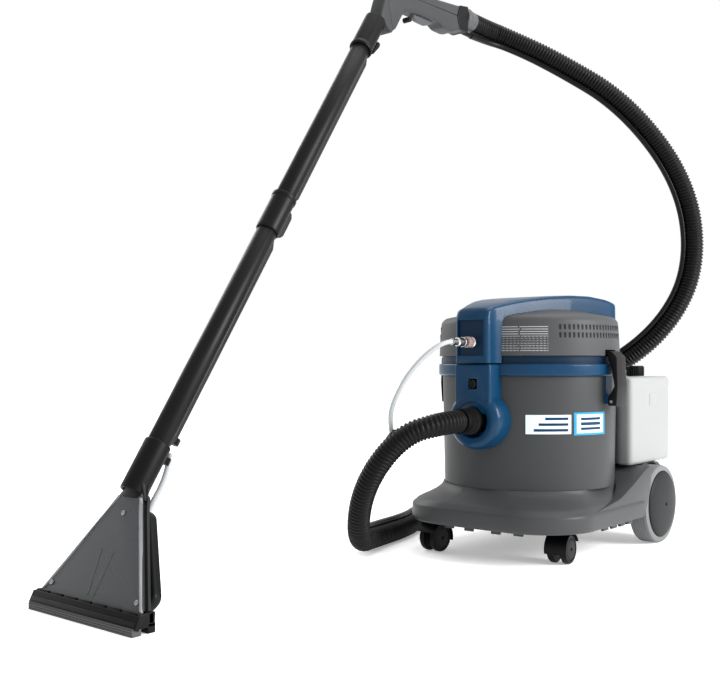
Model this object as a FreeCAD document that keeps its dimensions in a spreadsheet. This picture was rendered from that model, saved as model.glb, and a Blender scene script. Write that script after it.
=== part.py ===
"""Carpet cleaner: a wheeled machine with a lift-off head, a solution tank and a hose-fed wand.

Millimetres, +Z up, the machine's front toward -Y. The origin is on the floor, under the middle
of everything except the hoses. Sub-parts are modelled about the drum's axis and moved there
when they are written out.
"""
import FreeCAD, Part
import math
import os
import re

import Sketcher

Vector = FreeCAD.Vector

SIZES = {
    # recovery drum and the ring that rims it
    "drum_radius": 179, "foot_taper": 4, "drum_wall": 4, "drum_low": 140, "drum_high": 363,
    "ring_reach": 8, "ring_high": 386, "gasket_height": 4,
    # head
    "fit_gap": 0.4, "deck_reach": 1, "deck_high": 402, "head_reach": 7, "head_taper": 4,
    "head_side_high": 470, "dome_edge_high": 479, "dome_high": 505, "head_wall": 3.5,
    "pillar_half_width": 38, "pillar_reach": 41, "arch_half_width": 141, "arch_rear": 117,
    "panel_depth": 5, "vent_pitch": 3, "vent_wide": 4, "vent_tall": 10, "vent_low": 442, "vent_rise": 15.5,
    "float_radius": 38, "float_drop": 110,
    # inlet
    "inlet_high": 277, "boss_radius": 58, "inlet_radius": 32, "cuff_radius": 23.5, "inlet_depth": 26,
    # trolley
    "rim_reach": 21, "toe_reach": 41, "base_low": 68, "rim_high": 114, "shell_wall": 5,
    "corner_radius": 120, "shelf_rise": 0.5, "pump_gap": 10.5, "shelf_half_width": 165, "shelf_rear": 348,
    "wheel_radius": 83.5, "wheel_wide": 42, "wheel_near": 150, "wheel_back": 238, "axle_radius": 6,
    "well_gap": 4, "well_inner": 118, "cap_radius": 70, "cap_bulge": 10, "running_gap": 0.1,
    "caster_across": 132, "caster_ahead": 125, "caster_radius": 28.5, "caster_trail": 25,
    "caster_wheel_wide": 13, "caster_gap": 7, "caster_stem": 5.5,
    # solution tank
    "tank_half_width": 170, "tank_front": 130, "tank_rear": 350, "tank_high": 358, "tank_wall": 3,
    "hug_gap": 13, "tank_corner": 26, "neck_across": 120, "neck_back": 262, "neck_radius": 15,
    "neck_rise": 12, "cap_outer": 19, "tank_cap_high": 382, "valve_across": -60, "valve_radius": 9,
    # latches
    "latch_wide": 40, "latch_pivot_high": 312, "latch_reach": 16, "latch_high": 411,
    # wand
    "wand_across": -218, "joint_back": -534, "joint_high": 658, "tube_lean": 34,
    "lower_length": 538, "upper_length": 478, "tube_radius": 19, "tube_wall": 2, "fin_reach": 28,
    "fin_wide": 12, "collar_radius": 22.5, "collar_length": 84,
    "nozzle_half_width": 131, "nozzle_back": -950, "nozzle_lean": 27, "nozzle_length": 215,
    "nozzle_neck": 24, "lip_height": 9,
    "grip_half_width": 18, "grip_bore": 13, "grip_rear": 74, "grip_axis_high": 1160,
    # hoses
    "hose_radius": 21, "line_radius": 5, "clear_radius": 4.5,
}

# what takes its size from the pieces that it fits
FITTED = {
    "drum_foot_radius": "drum_radius - foot_taper", "ring_radius": "drum_radius + ring_reach",
    "deck_radius": "drum_radius + deck_reach", "head_radius": "drum_radius + head_reach",
    "head_top_radius": "head_radius - head_taper", "pillar_face": "drum_radius + pillar_reach",
    "base_half_width": "drum_radius + rim_reach", "base_front": "drum_radius + toe_reach",
    "latch_pivot_out": "drum_radius + latch_reach",
    "shelf_high": "2 * wheel_radius + well_gap + shelf_rise",
}

HOSE_ROUTE = [
    (-218, 115, 1182), (-218, 178, 1182), (-190, 236, 1170), (-105, 304, 1120), (40, 400, 1010),
    (154, 486, 815), (170, 504, 610), (100, 462, 455), (-40, 408, 350), (-170, 405, 225),
    (-285, 345, 92), (-345, 210, 26), (-330, 60, 22), (-275, -60, 22), (-250, -205, 22),
    (-200, -325, 32), (-142, -378, 152), (-64, -364, 252), (0, -320, 277), (0, -262.8, 277),
]
LINE_ROUTE = [
    (-218, 112.4, 1150), (-218, 174, 1152), (-193, 227, 1142), (-113, 291, 1095),
    (27, 384, 989), (135, 465, 804), (150, 482, 615), (86, 443, 473), (-53, 390, 369),
    (-184, 387, 243), (-294, 330, 116), (-350, 204, 54), (-335, 58, 50), (-280, -62, 50),
    (-256, -205, 50), (-211, -312, 59), (-160, -359, 166), (-98.4, -346.7, 247.6),
]
CLEAR_ROUTE = [
    (0, -286.4, 428), (-3, -308, 427), (-26, -334, 404), (-54, -352, 366), (-76, -362, 322),
    (-89, -362, 286), (-94.7, -347.7, 257.3),
]
SPRAY_ROUTE = [(-218, -778, 240), (-218, -785, 213), (-218, -799, 185), (-218, -817, 162),
               (-218, -829.5, 138)]

LINE_JOINT = (-95, -346, 252)

doc = FreeCAD.newDocument("carpet_cleaner")
sheet = doc.addObject("Spreadsheet::Sheet", "Sizes")
for row, (alias, number) in enumerate(SIZES.items(), start=1):
    sheet.set(f"A{row}", alias)
    sheet.set(f"B{row}", str(number))
    sheet.setAlias(f"B{row}", alias)
doc.recompute()

nodes = {}


def bound(text):
    """Return the expression with each size's alias pointed at the spreadsheet."""
    def named(word):
        if word[0] in FITTED:
            return f"({bound(FITTED[word[0]])})"
        return f"Sizes.{word[0]}" if word[0] in SIZES else word[0]

    return re.sub(r"[a-z_]{3,}", named, str(text))


def value(text):
    """Return the number that an expression of sizes gives."""
    return float(sheet.evalExpression(bound(text)))


def bind(item, **properties):
    """Bind each named property of the item to an expression of sizes."""
    for name, text in properties.items():
        item.setExpression(name.replace("__", "."), bound(text))
    return item


def put(item, place=(0, 0, 0), axis=None, angle=0):
    """Bind the item's position, and turn it about the axis by an expression in degrees."""
    if axis:
        item.Placement = FreeCAD.Placement(Vector(), FreeCAD.Rotation(Vector(*axis), value(angle)))
        item.setExpression("Placement.Rotation.Angle", bound(f"({angle}) * 1 deg"))
    for letter, text in zip("xyz", place):
        item.setExpression(f"Placement.Base.{letter}", bound(text))
    return item


def node(label, item):
    """Keep the item as the sub-part of that name."""
    item.Label = label
    nodes[label] = item
    return item


def box(x, y, z):
    """Return a box between three pairs of limits, each an expression."""
    item = doc.addObject("Part::Box", "box")
    bind(item, Length=f"({x[1]}) - ({x[0]})", Width=f"({y[1]}) - ({y[0]})",
         Height=f"({z[1]}) - ({z[0]})")
    return put(item, (x[0], y[0], z[0]))


def rod(radius, length, place=(0, 0, 0), along="z"):
    """Return a cylinder that starts at the place and runs along +X, +Y or +Z."""
    item = doc.addObject("Part::Cylinder", "rod")
    bind(item, Radius=radius, Height=length)
    turn = {"x": ((0, 1, 0), 90), "y": ((-1, 0, 0), 90), "z": (None, 0)}[along]
    return put(item, place, *turn)


def cone(low, high, length, place=(0, 0, 0)):
    """Return a cone along +Z with its two radii."""
    item = doc.addObject("Part::Cone", "cone")
    return put(bind(item, Radius1=low, Radius2=high, Height=length), place)


def ball(radius, place):
    """Return a sphere about the place."""
    item = doc.addObject("Part::Sphere", "ball")
    return put(bind(item, Radius=radius), place)


def sketched(outline, role):
    """Return a body and its closed sketch, with every corner bound to expressions."""
    body = doc.addObject("PartDesign::Body", "piece")
    sketch = body.newObject("Sketcher::SketchObject", "outline")
    plane = [item for item in body.Origin.OriginFeatures if item.Role == role][0]
    sketch.AttachmentSupport = (plane, [""])
    sketch.MapMode = "FlatFace"
    corners = [Vector(value(u), value(v), 0) for u, v in outline]
    count = len(corners)
    for index in range(count):
        sketch.addGeometry(Part.LineSegment(corners[index], corners[(index + 1) % count]), False)
    for index in range(count):
        sketch.addConstraint(
            Sketcher.Constraint("Coincident", index, 2, (index + 1) % count, 1))
    for index, (corner, texts) in enumerate(zip(corners, outline)):
        for way, number, text in (("DistanceX", corner.x, texts[0]),
                                  ("DistanceY", corner.y, texts[1])):
            rule = sketch.addConstraint(Sketcher.Constraint(way, index, 1, number))
            sketch.setExpression(f"Constraints[{rule}]", bound(text))
    return body, sketch


def turned(outline, place=(0, 0, 0), axis=None, angle=0):
    """Return a body turned about its own Z axis from an outline of radius and height."""
    body, sketch = sketched(outline, "XZ_Plane")
    turn = body.newObject("PartDesign::Revolution", "turn")
    turn.Profile = sketch
    turn.ReferenceAxis = (sketch, ["V_Axis"])
    turn.Angle = 360
    return put(body, place, axis, angle)


def slab(outline, start, depth, role="XY_Plane"):
    """Return an outline padded by the depth: up from a height, or along +X from a start."""
    body, sketch = sketched(outline, role)
    pad = body.newObject("PartDesign::Pad", "pad")
    pad.Profile = sketch
    pad.setExpression("Length", bound(depth))
    return put(body, (0, 0, start) if role == "XY_Plane" else (start, 0, 0))


def fuse(*items):
    """Return the union of the items."""
    item = doc.addObject("Part::MultiFuse", "union")
    item.Shapes = list(items)
    return item


def cut(base, *tools):
    """Return the base less the tools."""
    item = doc.addObject("Part::Cut", "cut")
    item.Base = base
    item.Tool = tools[0] if len(tools) == 1 else fuse(*tools)
    return item


def common(first, second):
    """Return what two items share."""
    item = doc.addObject("Part::Common", "common")
    item.Base, item.Tool = first, second
    return item


def gathered(items):
    """Return the items as one object of separate solids."""
    item = doc.addObject("Part::Compound", "set")
    item.Links = list(items)
    return item


def rounded(base, radius, chosen):
    """Return the base with the edges that the test picks rounded by the radius."""
    doc.recompute()
    item = doc.addObject("Part::Fillet", "rounded")
    item.Base = base
    size = value(radius)
    item.Edges = [(index, size, size) for index, edge in enumerate(base.Shape.Edges, start=1)
                  if chosen(edge)]
    return item


def upright(edge):
    """Tell whether the edge is straight and runs along Z."""
    ends = edge.Vertexes
    across = math.hypot(ends[0].X - ends[-1].X, ends[0].Y - ends[-1].Y)
    return len(ends) == 2 and across < 0.001


def drum_solid():
    """Return the drum's outside as a solid, with the ring's outside on top of it."""
    return turned([(0, "drum_low"), ("drum_foot_radius", "drum_low"), ("drum_radius", "drum_high"),
                   ("ring_radius", "drum_high"), ("ring_radius", "ring_high + 30"),
                   (0, "ring_high + 30")])


def wheel_wells(inner, reach):
    """Return the two spaces that the rear wheels turn in, from an inner side outward."""
    radius = f"wheel_radius + {reach}"
    return [rod(radius, 100, (inner, "wheel_back", "wheel_radius"), "x"),
            rod(radius, 100, (f"-({inner}) - 100", "wheel_back", "wheel_radius"), "x")]


def make_recovery_tank():
    """Drum, its ring, the seal, the inlet boss with its plug and the elbow inside."""
    shell = turned([(0, "drum_low"), ("drum_foot_radius", "drum_low"),
                    ("drum_radius", "drum_high"), ("drum_radius - drum_wall", "drum_high"),
                    ("drum_foot_radius - drum_wall", "drum_low + drum_wall"),
                    (0, "drum_low + drum_wall")])
    node("drum", cut(shell, rod("cuff_radius", 100, (0, -220, "inlet_high"), "y")))
    rim = turned([("drum_radius - drum_wall", "drum_high"), ("ring_radius", "drum_high"),
                  ("ring_radius", "ring_high"), ("drum_radius - drum_wall", "ring_high")])
    lugs = [box((start, end), (-14, 14), ("latch_pivot_high - 4.5", "drum_high + 4"))
            for start, end in (("170", "latch_pivot_out + 4"), ("-latch_pivot_out - 4", "-170"))]
    clearances = [box((start, f"{start} + 40"), (-20, 20), ("latch_pivot_high + 12", "drum_high + 6"))
                  for start in ("drum_radius + 3", "-drum_radius - 43")]
    lug_holes = [rod(3, 60, (across, -30, "latch_pivot_high"), "y")
                 for across in ("latch_pivot_out", "-latch_pivot_out")]
    lug = cut(fuse(*lugs), drum_solid(), *clearances, *lug_holes)
    node("tank_ring", fuse(rim, lug))
    node("lid_gasket", turned([("drum_radius - drum_wall", "ring_high"),
                               ("deck_radius", "ring_high"),
                               ("deck_radius", "ring_high + gasket_height"),
                               ("drum_radius - drum_wall", "ring_high + gasket_height")]))
    pillar = box(("-pillar_half_width", "pillar_half_width"), ("3 - pillar_face", "-150"),
                 ("inlet_high", "ring_high"))
    boss = rod("boss_radius", 80, (0, "-pillar_face", "inlet_high"), "y")
    bores = [rod("inlet_radius", "inlet_depth", (0, "-pillar_face", "inlet_high"), "y"),
             rod("cuff_radius", 100, (0, "-pillar_face", "inlet_high"), "y"),
             rod(9.5, 12, (0, "3 - pillar_face", 347.5), "y")]
    node("inlet_boss", cut(fuse(boss, pillar), drum_solid(), *bores))
    node("pillar_plug", rod(9.5, 13, (0, "2 - pillar_face", 347.5), "y"))
    chute = cut(box(("-cuff_radius - 4", "cuff_radius + 4"), (-190, -110),
                    ("inlet_high - 70", "inlet_high + cuff_radius + 4")),
                box(("-cuff_radius - 1", "cuff_radius + 1"), (-191, -113),
                    ("inlet_high - 71", "inlet_high + cuff_radius + 1")))
    node("inlet_elbow", common(chute, rod("drum_foot_radius - drum_wall", 200, (0, 0, 180))))
    node("hose_cuff_tank", turned(
        [("hose_radius - 3", 0), ("cuff_radius", 0), ("cuff_radius", 70), (27, 70), (27, 78),
         ("cuff_radius + 1", 78), ("cuff_radius + 1", 112), ("hose_radius - 3", 112)],
        (0, -150, "inlet_high"), (1, 0, 0), 90))


def make_trolley():
    """Shell, axle, wheels, hub caps, casters and the pump under the shell."""
    def plan(width, front, rear, low, high, radius):
        shape = box((f"-({width})", width), (front, rear), (low, high))
        return rounded(shape, radius, lambda edge: upright(edge) and edge.Vertexes[0].Y < 0)

    foot = plan("base_half_width", "-base_front", 150, "base_low", "rim_high", "corner_radius")
    shoulder = cone("base_half_width - 3", "drum_foot_radius + 2", "drum_low - rim_high",
                    (0, 0, "rim_high"))
    flanks = slab([(-60, 90), (-60, "rim_high"), (30, 124), (90, 145), (130, 163),
                   (165, "shelf_high"), (165, 90)], "-base_half_width + 4",
                  "2 * base_half_width - 8", "YZ_Plane")
    shelf = slab([(150, 90), (150, "shelf_high"), ("shelf_rear", "shelf_high"),
                  ("shelf_rear", 130), (320, 90)], "-shelf_half_width", "2 * shelf_half_width",
                 "YZ_Plane")
    hollow = plan("base_half_width - shell_wall", "shell_wall - base_front", "150 - shell_wall",
                  "base_low - 1", "rim_high - 6", "corner_radius - shell_wall")
    rise = cone("base_half_width - 20", "drum_foot_radius - 10", "drum_low - rim_high",
                (0, 0, "rim_high - 6.1"))
    bay = box(("shell_wall - well_inner", "well_inner - shell_wall"),
              (100, "shelf_rear - shell_wall - 4"), ("base_low - 1", "shelf_high - 22"))
    shell = cut(fuse(foot, shoulder, flanks, shelf), hollow, rise, bay, drum_solid(),
                *wheel_wells("well_inner", "well_gap"))
    sockets = [rod("caster_stem + 12", 42, (side + "caster_across", "-caster_ahead", "base_low"))
               for side in ("", "-")]
    holes = [rod("caster_stem + running_gap", 34,
                 (side + "caster_across", "-caster_ahead", "base_low - 2")) for side in ("", "-")]
    holes.append(rod("axle_radius", 400, (-200, "wheel_back", "wheel_radius"), "x"))
    holes.append(rod("valve_radius + 2", 40, ("valve_across", 300, "shelf_high - 30")))
    node("base_shell", cut(fuse(shell, *sockets), *holes))
    node("axle", rod("axle_radius", "2 * (wheel_near + wheel_wide - 4)",
                     ("4 - wheel_near - wheel_wide", "wheel_back", "wheel_radius"), "x"))
    for side, sign in (("left", "-"), ("right", "")):
        turn = -90 if sign else 90
        centre = (f"{sign}wheel_near", "wheel_back", "wheel_radius")
        node(f"rear_wheel_{side}", turned(
            [("axle_radius + running_gap", 0), ("wheel_radius - 6", 0), ("wheel_radius", 5),
             ("wheel_radius", "wheel_wide - 5"), ("wheel_radius - 6", "wheel_wide"),
             ("cap_radius", "wheel_wide"), ("cap_radius", "wheel_wide - 6"),
             ("axle_radius + running_gap", "wheel_wide - 6")], centre, (0, 1, 0), turn))
        node(f"hub_cap_{side}", turned(
            [("axle_radius + 3", "wheel_wide - 6"), ("cap_radius", "wheel_wide - 6"),
             ("cap_radius", "wheel_wide + 1"), (50, "wheel_wide + 7"),
             (20, "wheel_wide + cap_bulge"), (0, "wheel_wide + cap_bulge"),
             (0, "wheel_wide + cap_bulge - 3"), ("axle_radius + 3", "wheel_wide + 5")],
            centre, (0, 1, 0), turn))
    node("pump", fuse(box((-60, 20), (190, 240), ("wheel_radius + axle_radius + pump_gap",
                                                 "shelf_high - 22")),
                      rod(22, 60, (20, 215, "shelf_high - 47.5"), "x")))


def make_caster(side, sign, angle):
    """One twin-wheel caster: hood with stem, and two wheels that trail behind the stem."""
    place = (f"{sign}caster_across", "-caster_ahead", 0)
    out = "(caster_wheel_wide + caster_gap)"
    centre = ("caster_trail", "caster_radius")
    hood = cut(rod("caster_radius + 3", f"2 * {out} + 8", (f"-{out} - 4", *centre), "x"),
               box((-60, 60), (-20, 80), (-20, "caster_radius + 4")),
               *[rod("caster_radius + 1", "caster_wheel_wide + 1", (start, *centre), "x")
                 for start in (f"-{out} - 0.6", "caster_gap - 0.4")])
    web = box(("1.5 - caster_gap", "caster_gap - 1.5"), ("caster_trail - 6", "caster_trail + 6"),
              ("caster_radius - 6", "2 * caster_radius + 2"))
    crown = fuse(rod(15, 9, (0, 0, "base_low - 9.5")), rod("caster_stem", 30, (0, 0, "base_low - 1")))
    neck = cut(box((-12, 12), (0, "caster_trail"), ("base_low - 9.5", "base_low - 2")),
               rod("caster_radius + 1", 40, (-20, *centre), "x"))
    pin = rod(3, f"2 * {out} + 4", (f"-{out} - 2", *centre), "x")
    bracket = fuse(hood, web, crown, neck, pin)
    node(f"caster_bracket_{side}", put(bracket, place, (0, 0, 1), angle))
    wheels = [cut(rod("caster_radius", "caster_wheel_wide - 0.4", (start, *centre), "x"),
                  rod("3 + running_gap", 60, (-30, *centre), "x"))
              for start in (f"-{out}", "caster_gap + 0.4")]
    node(f"caster_wheels_{side}", put(gathered(wheels), place, (0, 0, 1), angle))


def make_head():
    """Deck, cover with vents, blue spine, motor, float, filter, switches and quick coupler."""
    deck_low = "ring_high + gasket_height + fit_gap"
    node("motor_deck", turned([("float_radius - 6", deck_low), ("deck_radius", deck_low),
                               ("deck_radius", "deck_high"), ("float_radius - 6", "deck_high")]))
    outside = [("head_radius", "deck_high"), ("head_top_radius", "head_side_high"),
               ("head_top_radius - 6", "dome_edge_high"), (98, "dome_high - 9"),
               (0, "dome_high")]
    inside = [(0, "dome_high - head_wall"), (98, "dome_high - 9 - head_wall"),
              ("head_top_radius - 8", "dome_edge_high - head_wall"),
              ("head_top_radius - head_wall", "head_side_high - 2"),
              ("head_radius - head_wall", "deck_high")]
    vents = []
    for count in range(14):
        for rise in ("vent_low", "vent_low + vent_rise"):
            for turn in (f"({count} * vent_pitch - 40)", f"(220 - {count} * vent_pitch)"):
                cosine, sine = f"cos({turn} * 1 deg)", f"sin({turn} * 1 deg)"
                slot = box(("head_radius - 12", "head_radius + 2"),
                           ("-vent_wide / 2", "vent_wide / 2"),
                           (f"{rise} - vent_tall / 2", f"{rise} + vent_tall / 2"))
                near = (f"(head_radius - 12) * {cosine} + vent_wide / 2 * {sine}",
                        f"(head_radius - 12) * {sine} - vent_wide / 2 * {cosine}",
                        f"{rise} - vent_tall / 2")
                vents.append(put(slot, near, (0, 0, 1), turn))
    notches = [box((start, f"{start} + 40"), ("-latch_wide / 2 - 3", "latch_wide / 2 + 3"),
                   ("deck_high - 1", "latch_high + 3")) for start in ("172", "-212")]
    node("head_cover", cut(turned(outside + inside), gathered(vents), *notches))
    plan = slab([("-pillar_half_width", "-pillar_face"), ("pillar_half_width", "-pillar_face"),
                 ("pillar_half_width", -200), ("arch_half_width", "arch_rear"), (112, 146),
                 (62, 173), (0, 183), (-62, 173), (-112, 146), ("-arch_half_width", "arch_rear"),
                 ("-pillar_half_width", -200)], 380, 180)
    arch = slab([("-pillar_face", "ring_high + 1"), ("-pillar_face", 484), (-212, 493),
                 (-180, 503), (-110, 516), (-40, 524), (20, 529), (80, 524), (135, 510),
                 (183, 487), (183, 460), (-186, 460), (-188, "ring_high + 1")], -200, 400,
                "YZ_Plane")
    solid = turned([(0, "ring_high")] + [("ring_radius + 0.4", "ring_high")]
                   + [("ring_radius + 0.4", "deck_high")] + outside)
    recess = box(("8 - pillar_half_width", "pillar_half_width - 10"),
                 ("-pillar_face - 1", "panel_depth - pillar_face"), ("deck_high", 471))
    rockers = [box((start, f"{start} + 20"), (100, 132), (490, 540)) for start in (-34, 14)]
    switch_floor = box((-60, 60), (95, 137), (480, 506))
    spine = common(plan, arch)
    node("spine_cover", cut(spine, solid, recess, *[cut(item, switch_floor) for item in rockers]))
    for label, start in (("vacuum_switch", -34), ("pump_switch", 14)):
        rocker = fuse(rod(7, 19, (f"{start} + 0.5", 116, 514), "x"),
                      box((f"{start} + 0.5", f"{start} + 19.5"), (103, 129), (514, 521)))
        node(label, rocker)
    node("motor_housing", turned([("float_radius + 30", "deck_high"), (80, "deck_high"),
                                  (80, 440), (60, 446), (60, 486), (0, 486), (0, 483), (57, 483),
                                  (57, 443), (77, 437), (77, 405), ("float_radius + 30", 405)],
                                 (0, 20, 0)))
    node("motor_rotor", turned([(0, 408), (66, 408), (66, 424), (8, 426), (8, 440), (40, 440),
                                (40, 476), (5, 476), (5, 482), (0, 482)], (0, 20, 0)))
    cage = turned([("float_radius - 10", "deck_high"), ("float_radius - 6.4", "deck_high"),
                   ("float_radius - 6.4", "ring_high - float_drop"), (0, "ring_high - float_drop"),
                   (0, "ring_high - float_drop + 3"),
                   ("float_radius - 10", "ring_high - float_drop + 3")])
    slots = [box((-60, 60), (-6, 6), (300, 372)), box((-6, 6), (-60, 60), (300, 372))]
    node("float_cage", cut(cage, *slots))
    node("float_cup", turned([(0, "ring_high - float_drop + 3.6"),
                              ("float_radius - 12", "ring_high - float_drop + 3.6"),
                              ("float_radius - 12", "ring_high - 62"), (0, "ring_high - 62")]))
    node("quick_coupler", turned([(0, 0), (7, 0), (7, 28), (9.5, 28), (9.5, 35), (0, 35)],
                                 (0, "panel_depth - pillar_face", 428), (1, 0, 0), 90))
    node("coupler_collar", turned([("7 + running_gap", 8), (10.5, 8), (10.5, 24),
                                   ("7 + running_gap", 24)],
                                  (0, "panel_depth - pillar_face", 428), (1, 0, 0), 90))
    node("coupler_plug", turned([(0, 0), (8.5, 0), (8.5, 16), (6.5, 18), (6.5, 35.2), (0, 35.2)],
                                (0, "panel_depth - pillar_face - 35.8", 428), (1, 0, 0), 90))
    gland = turned([(0, 0), (9, 0), (9, 14), (6, 16), (5, 34), (0, 34)],
                   ("28 - head_radius", 80, 430), (0, -1, 0), 90)
    node("mains_gland", cut(gland, turned(outside[:2] + [(0, "head_side_high"),
                                                         (0, "deck_high")])))


def make_latches():
    """On each side: a pin through the ring's lug and a lever on it."""
    half = "latch_wide / 2"
    pins = []
    for side, sign in (("left", -1), ("right", 1)):
        def across(near, far):
            pair = (f"{sign} * ({near})", f"{sign} * ({far})")
            return pair if sign > 0 else pair[::-1]

        pivot = (f"{sign} * latch_pivot_out", f"1 - {half}", "latch_pivot_high")
        pins.append(rod(3, "latch_wide - 2", pivot, "y"))
        lever = slab([(f"{sign} * (latch_pivot_out - 7)", "latch_pivot_high - 8"),
                      (f"{sign} * (latch_pivot_out + 10)", "latch_pivot_high - 8"),
                      (f"{sign} * (latch_pivot_out + 13)", "latch_pivot_high + 30"),
                      (f"{sign} * (latch_pivot_out + 11)", "latch_high - 12"),
                      (f"{sign} * (latch_pivot_out)", "latch_high"),
                      (f"{sign} * (deck_radius + 3)", "latch_high"),
                      (f"{sign} * (deck_radius + 3)", "deck_high + 2"),
                      (f"{sign} * (ring_radius + 1)", "deck_high + 2"),
                      (f"{sign} * (ring_radius + 1)", "deck_high - 8"),
                      (f"{sign} * (latch_pivot_out)", "deck_high - 24"),
                      (f"{sign} * (latch_pivot_out + 6.6)", "latch_pivot_high + 30"),
                      (f"{sign} * (latch_pivot_out - 7)", "latch_pivot_high + 8")],
                     0, "latch_wide")
        upended = put(lever, (0, half, 0), (1, 0, 0), 90)
        lug_space = box(across("150", "latch_pivot_out + 6.6"), ("-14.4", "14.4"),
                        ("latch_pivot_high - 20", "latch_pivot_high + 16"))
        pin_hole = rod("3 + running_gap", 60, (pivot[0], -30, pivot[2]), "y")
        node(f"latch_lever_{side}", cut(upended, lug_space, pin_hole))
    node("latch_pins", gathered(pins))


def make_solution_tank():
    """Translucent tank that hugs the drum, with its screw cap and bottom valve."""
    low = "shelf_high + fit_gap"

    def block(inset, lift):
        shape = box((f"{inset} - tank_half_width", f"tank_half_width - {inset}"),
                    (f"tank_front + {inset}", f"tank_rear - {inset}"),
                    (f"{low} + {inset}", f"tank_high - {inset}"))
        soft = rounded(shape, f"tank_corner - {inset}", upright)
        return cut(soft, rod(f"drum_radius + hug_gap + {inset}", 300, (0, 0, 120)))

    spot = ("neck_across", "neck_back")
    neck = rod("neck_radius + 3", "neck_rise + tank_wall", (*spot, "tank_high - tank_wall"))
    tank = cut(fuse(block("0", "0"), neck), block("tank_wall", "0"),
               rod("neck_radius", "neck_rise + 20", (*spot, "tank_high - 10")),
               rod("valve_radius", 20, ("valve_across", 300, f"{low} - 8")))
    node("solution_tank", tank)
    node("tank_cap", turned(
        [(0, "tank_cap_high"), ("cap_outer", "tank_cap_high"), ("cap_outer", "tank_high + 1"),
         ("neck_radius + 3.3", "tank_high + 1"),
         ("neck_radius + 3.3", "tank_high + neck_rise + fit_gap"),
         (0, "tank_high + neck_rise + fit_gap")], (*spot, 0)))
    node("tank_valve", turned([(0, f"{low} - 10"), (6, f"{low} - 10"), ("valve_radius", low),
                               ("valve_radius", f"{low} + tank_wall"),
                               (13, f"{low} + tank_wall"), (13, f"{low} + 9"), (0, f"{low} + 9")],
                              ("valve_across", 300, 0)))


def on_wand(item):
    """Move an item from the tube's own frame, +Z up the tube, to where the tubes meet."""
    return put(gathered([item]), ("wand_across", "joint_back", "joint_high"), (-1, 0, 0), "tube_lean")


def make_tubes():
    """Two tubes, each with a solution channel, and their collar with its lock button."""
    spans = {"lower_tube": ("-lower_length", "-1"), "upper_tube": ("1", "upper_length")}
    for label, (start, end) in spans.items():
        length = f"({end}) - ({start})"
        fin_start = f"({start}) + {62 if label == 'lower_tube' else 46}"
        fin_end = f"({end}) - 46"
        fin = fuse(box(("-fin_wide / 2", "fin_wide / 2"), (10, "fin_reach - 6"),
                       (fin_start, fin_end)),
                   rod("fin_wide / 2", f"({fin_end}) - ({fin_start})",
                       (0, "fin_reach - 6", fin_start)))
        tube = cut(fuse(rod("tube_radius", length, (0, 0, start)), fin),
                   rod("tube_radius - tube_wall", length, (0, 0, start)))
        node(label, on_wand(tube))
    collar = turned([("tube_radius", -40), ("collar_radius - 1", -40), ("collar_radius", -34),
                     ("collar_radius", 34), ("collar_radius + 1.5", 36),
                     ("collar_radius + 1.5", "collar_length / 2"),
                     ("tube_radius", "collar_length / 2")])
    housing = cut(box((-9, 9), ("tube_radius + 0.5", "collar_radius + 8"), (-34, 20)),
                  box((-6, 6), ("tube_radius + 1", "collar_radius + 20"), (-20, 2)))
    shaft = cut(fuse(collar, housing), box((-6, 6), ("tube_radius + 1", 50), (-20, 2)))
    node("joint_collar", on_wand(shaft))
    node("joint_button", on_wand(box((-5.6, 5.6), ("tube_radius + 3", "collar_radius + 11"),
                                     (-19.6, 1.6))))


def on_nozzle(item):
    """Move an item from the nozzle's own frame, +Z up the fan, to the floor's front edge."""
    return put(gathered([item]), ("wand_across", "nozzle_back", 0), (-1, 0, 0), "nozzle_lean")


def fan(inset, front, depth):
    """Return the nozzle's fan as a slab, narrowed all round by the inset."""
    half = f"nozzle_half_width - 6 - {inset}"
    body, sketch = sketched(
        [(f"-({half})", 22), (half, 22), (half, 40),
         (f"nozzle_neck - {inset} + 26", "nozzle_length - 62"),
         (f"nozzle_neck - {inset}", "nozzle_length - 26"),
         (f"nozzle_neck - {inset}", f"nozzle_length - 4"),
         (f"{inset} - nozzle_neck", f"nozzle_length - 4"),
         (f"{inset} - nozzle_neck", "nozzle_length - 26"),
         (f"{inset} - nozzle_neck - 26", "nozzle_length - 62"), (f"-({half})", 40)], "XZ_Plane")
    pad = body.newObject("PartDesign::Pad", "pad")
    pad.Profile = sketch
    pad.setExpression("Length", bound(depth))
    return put(body, (0, f"{front} + {depth}", 0))


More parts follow.
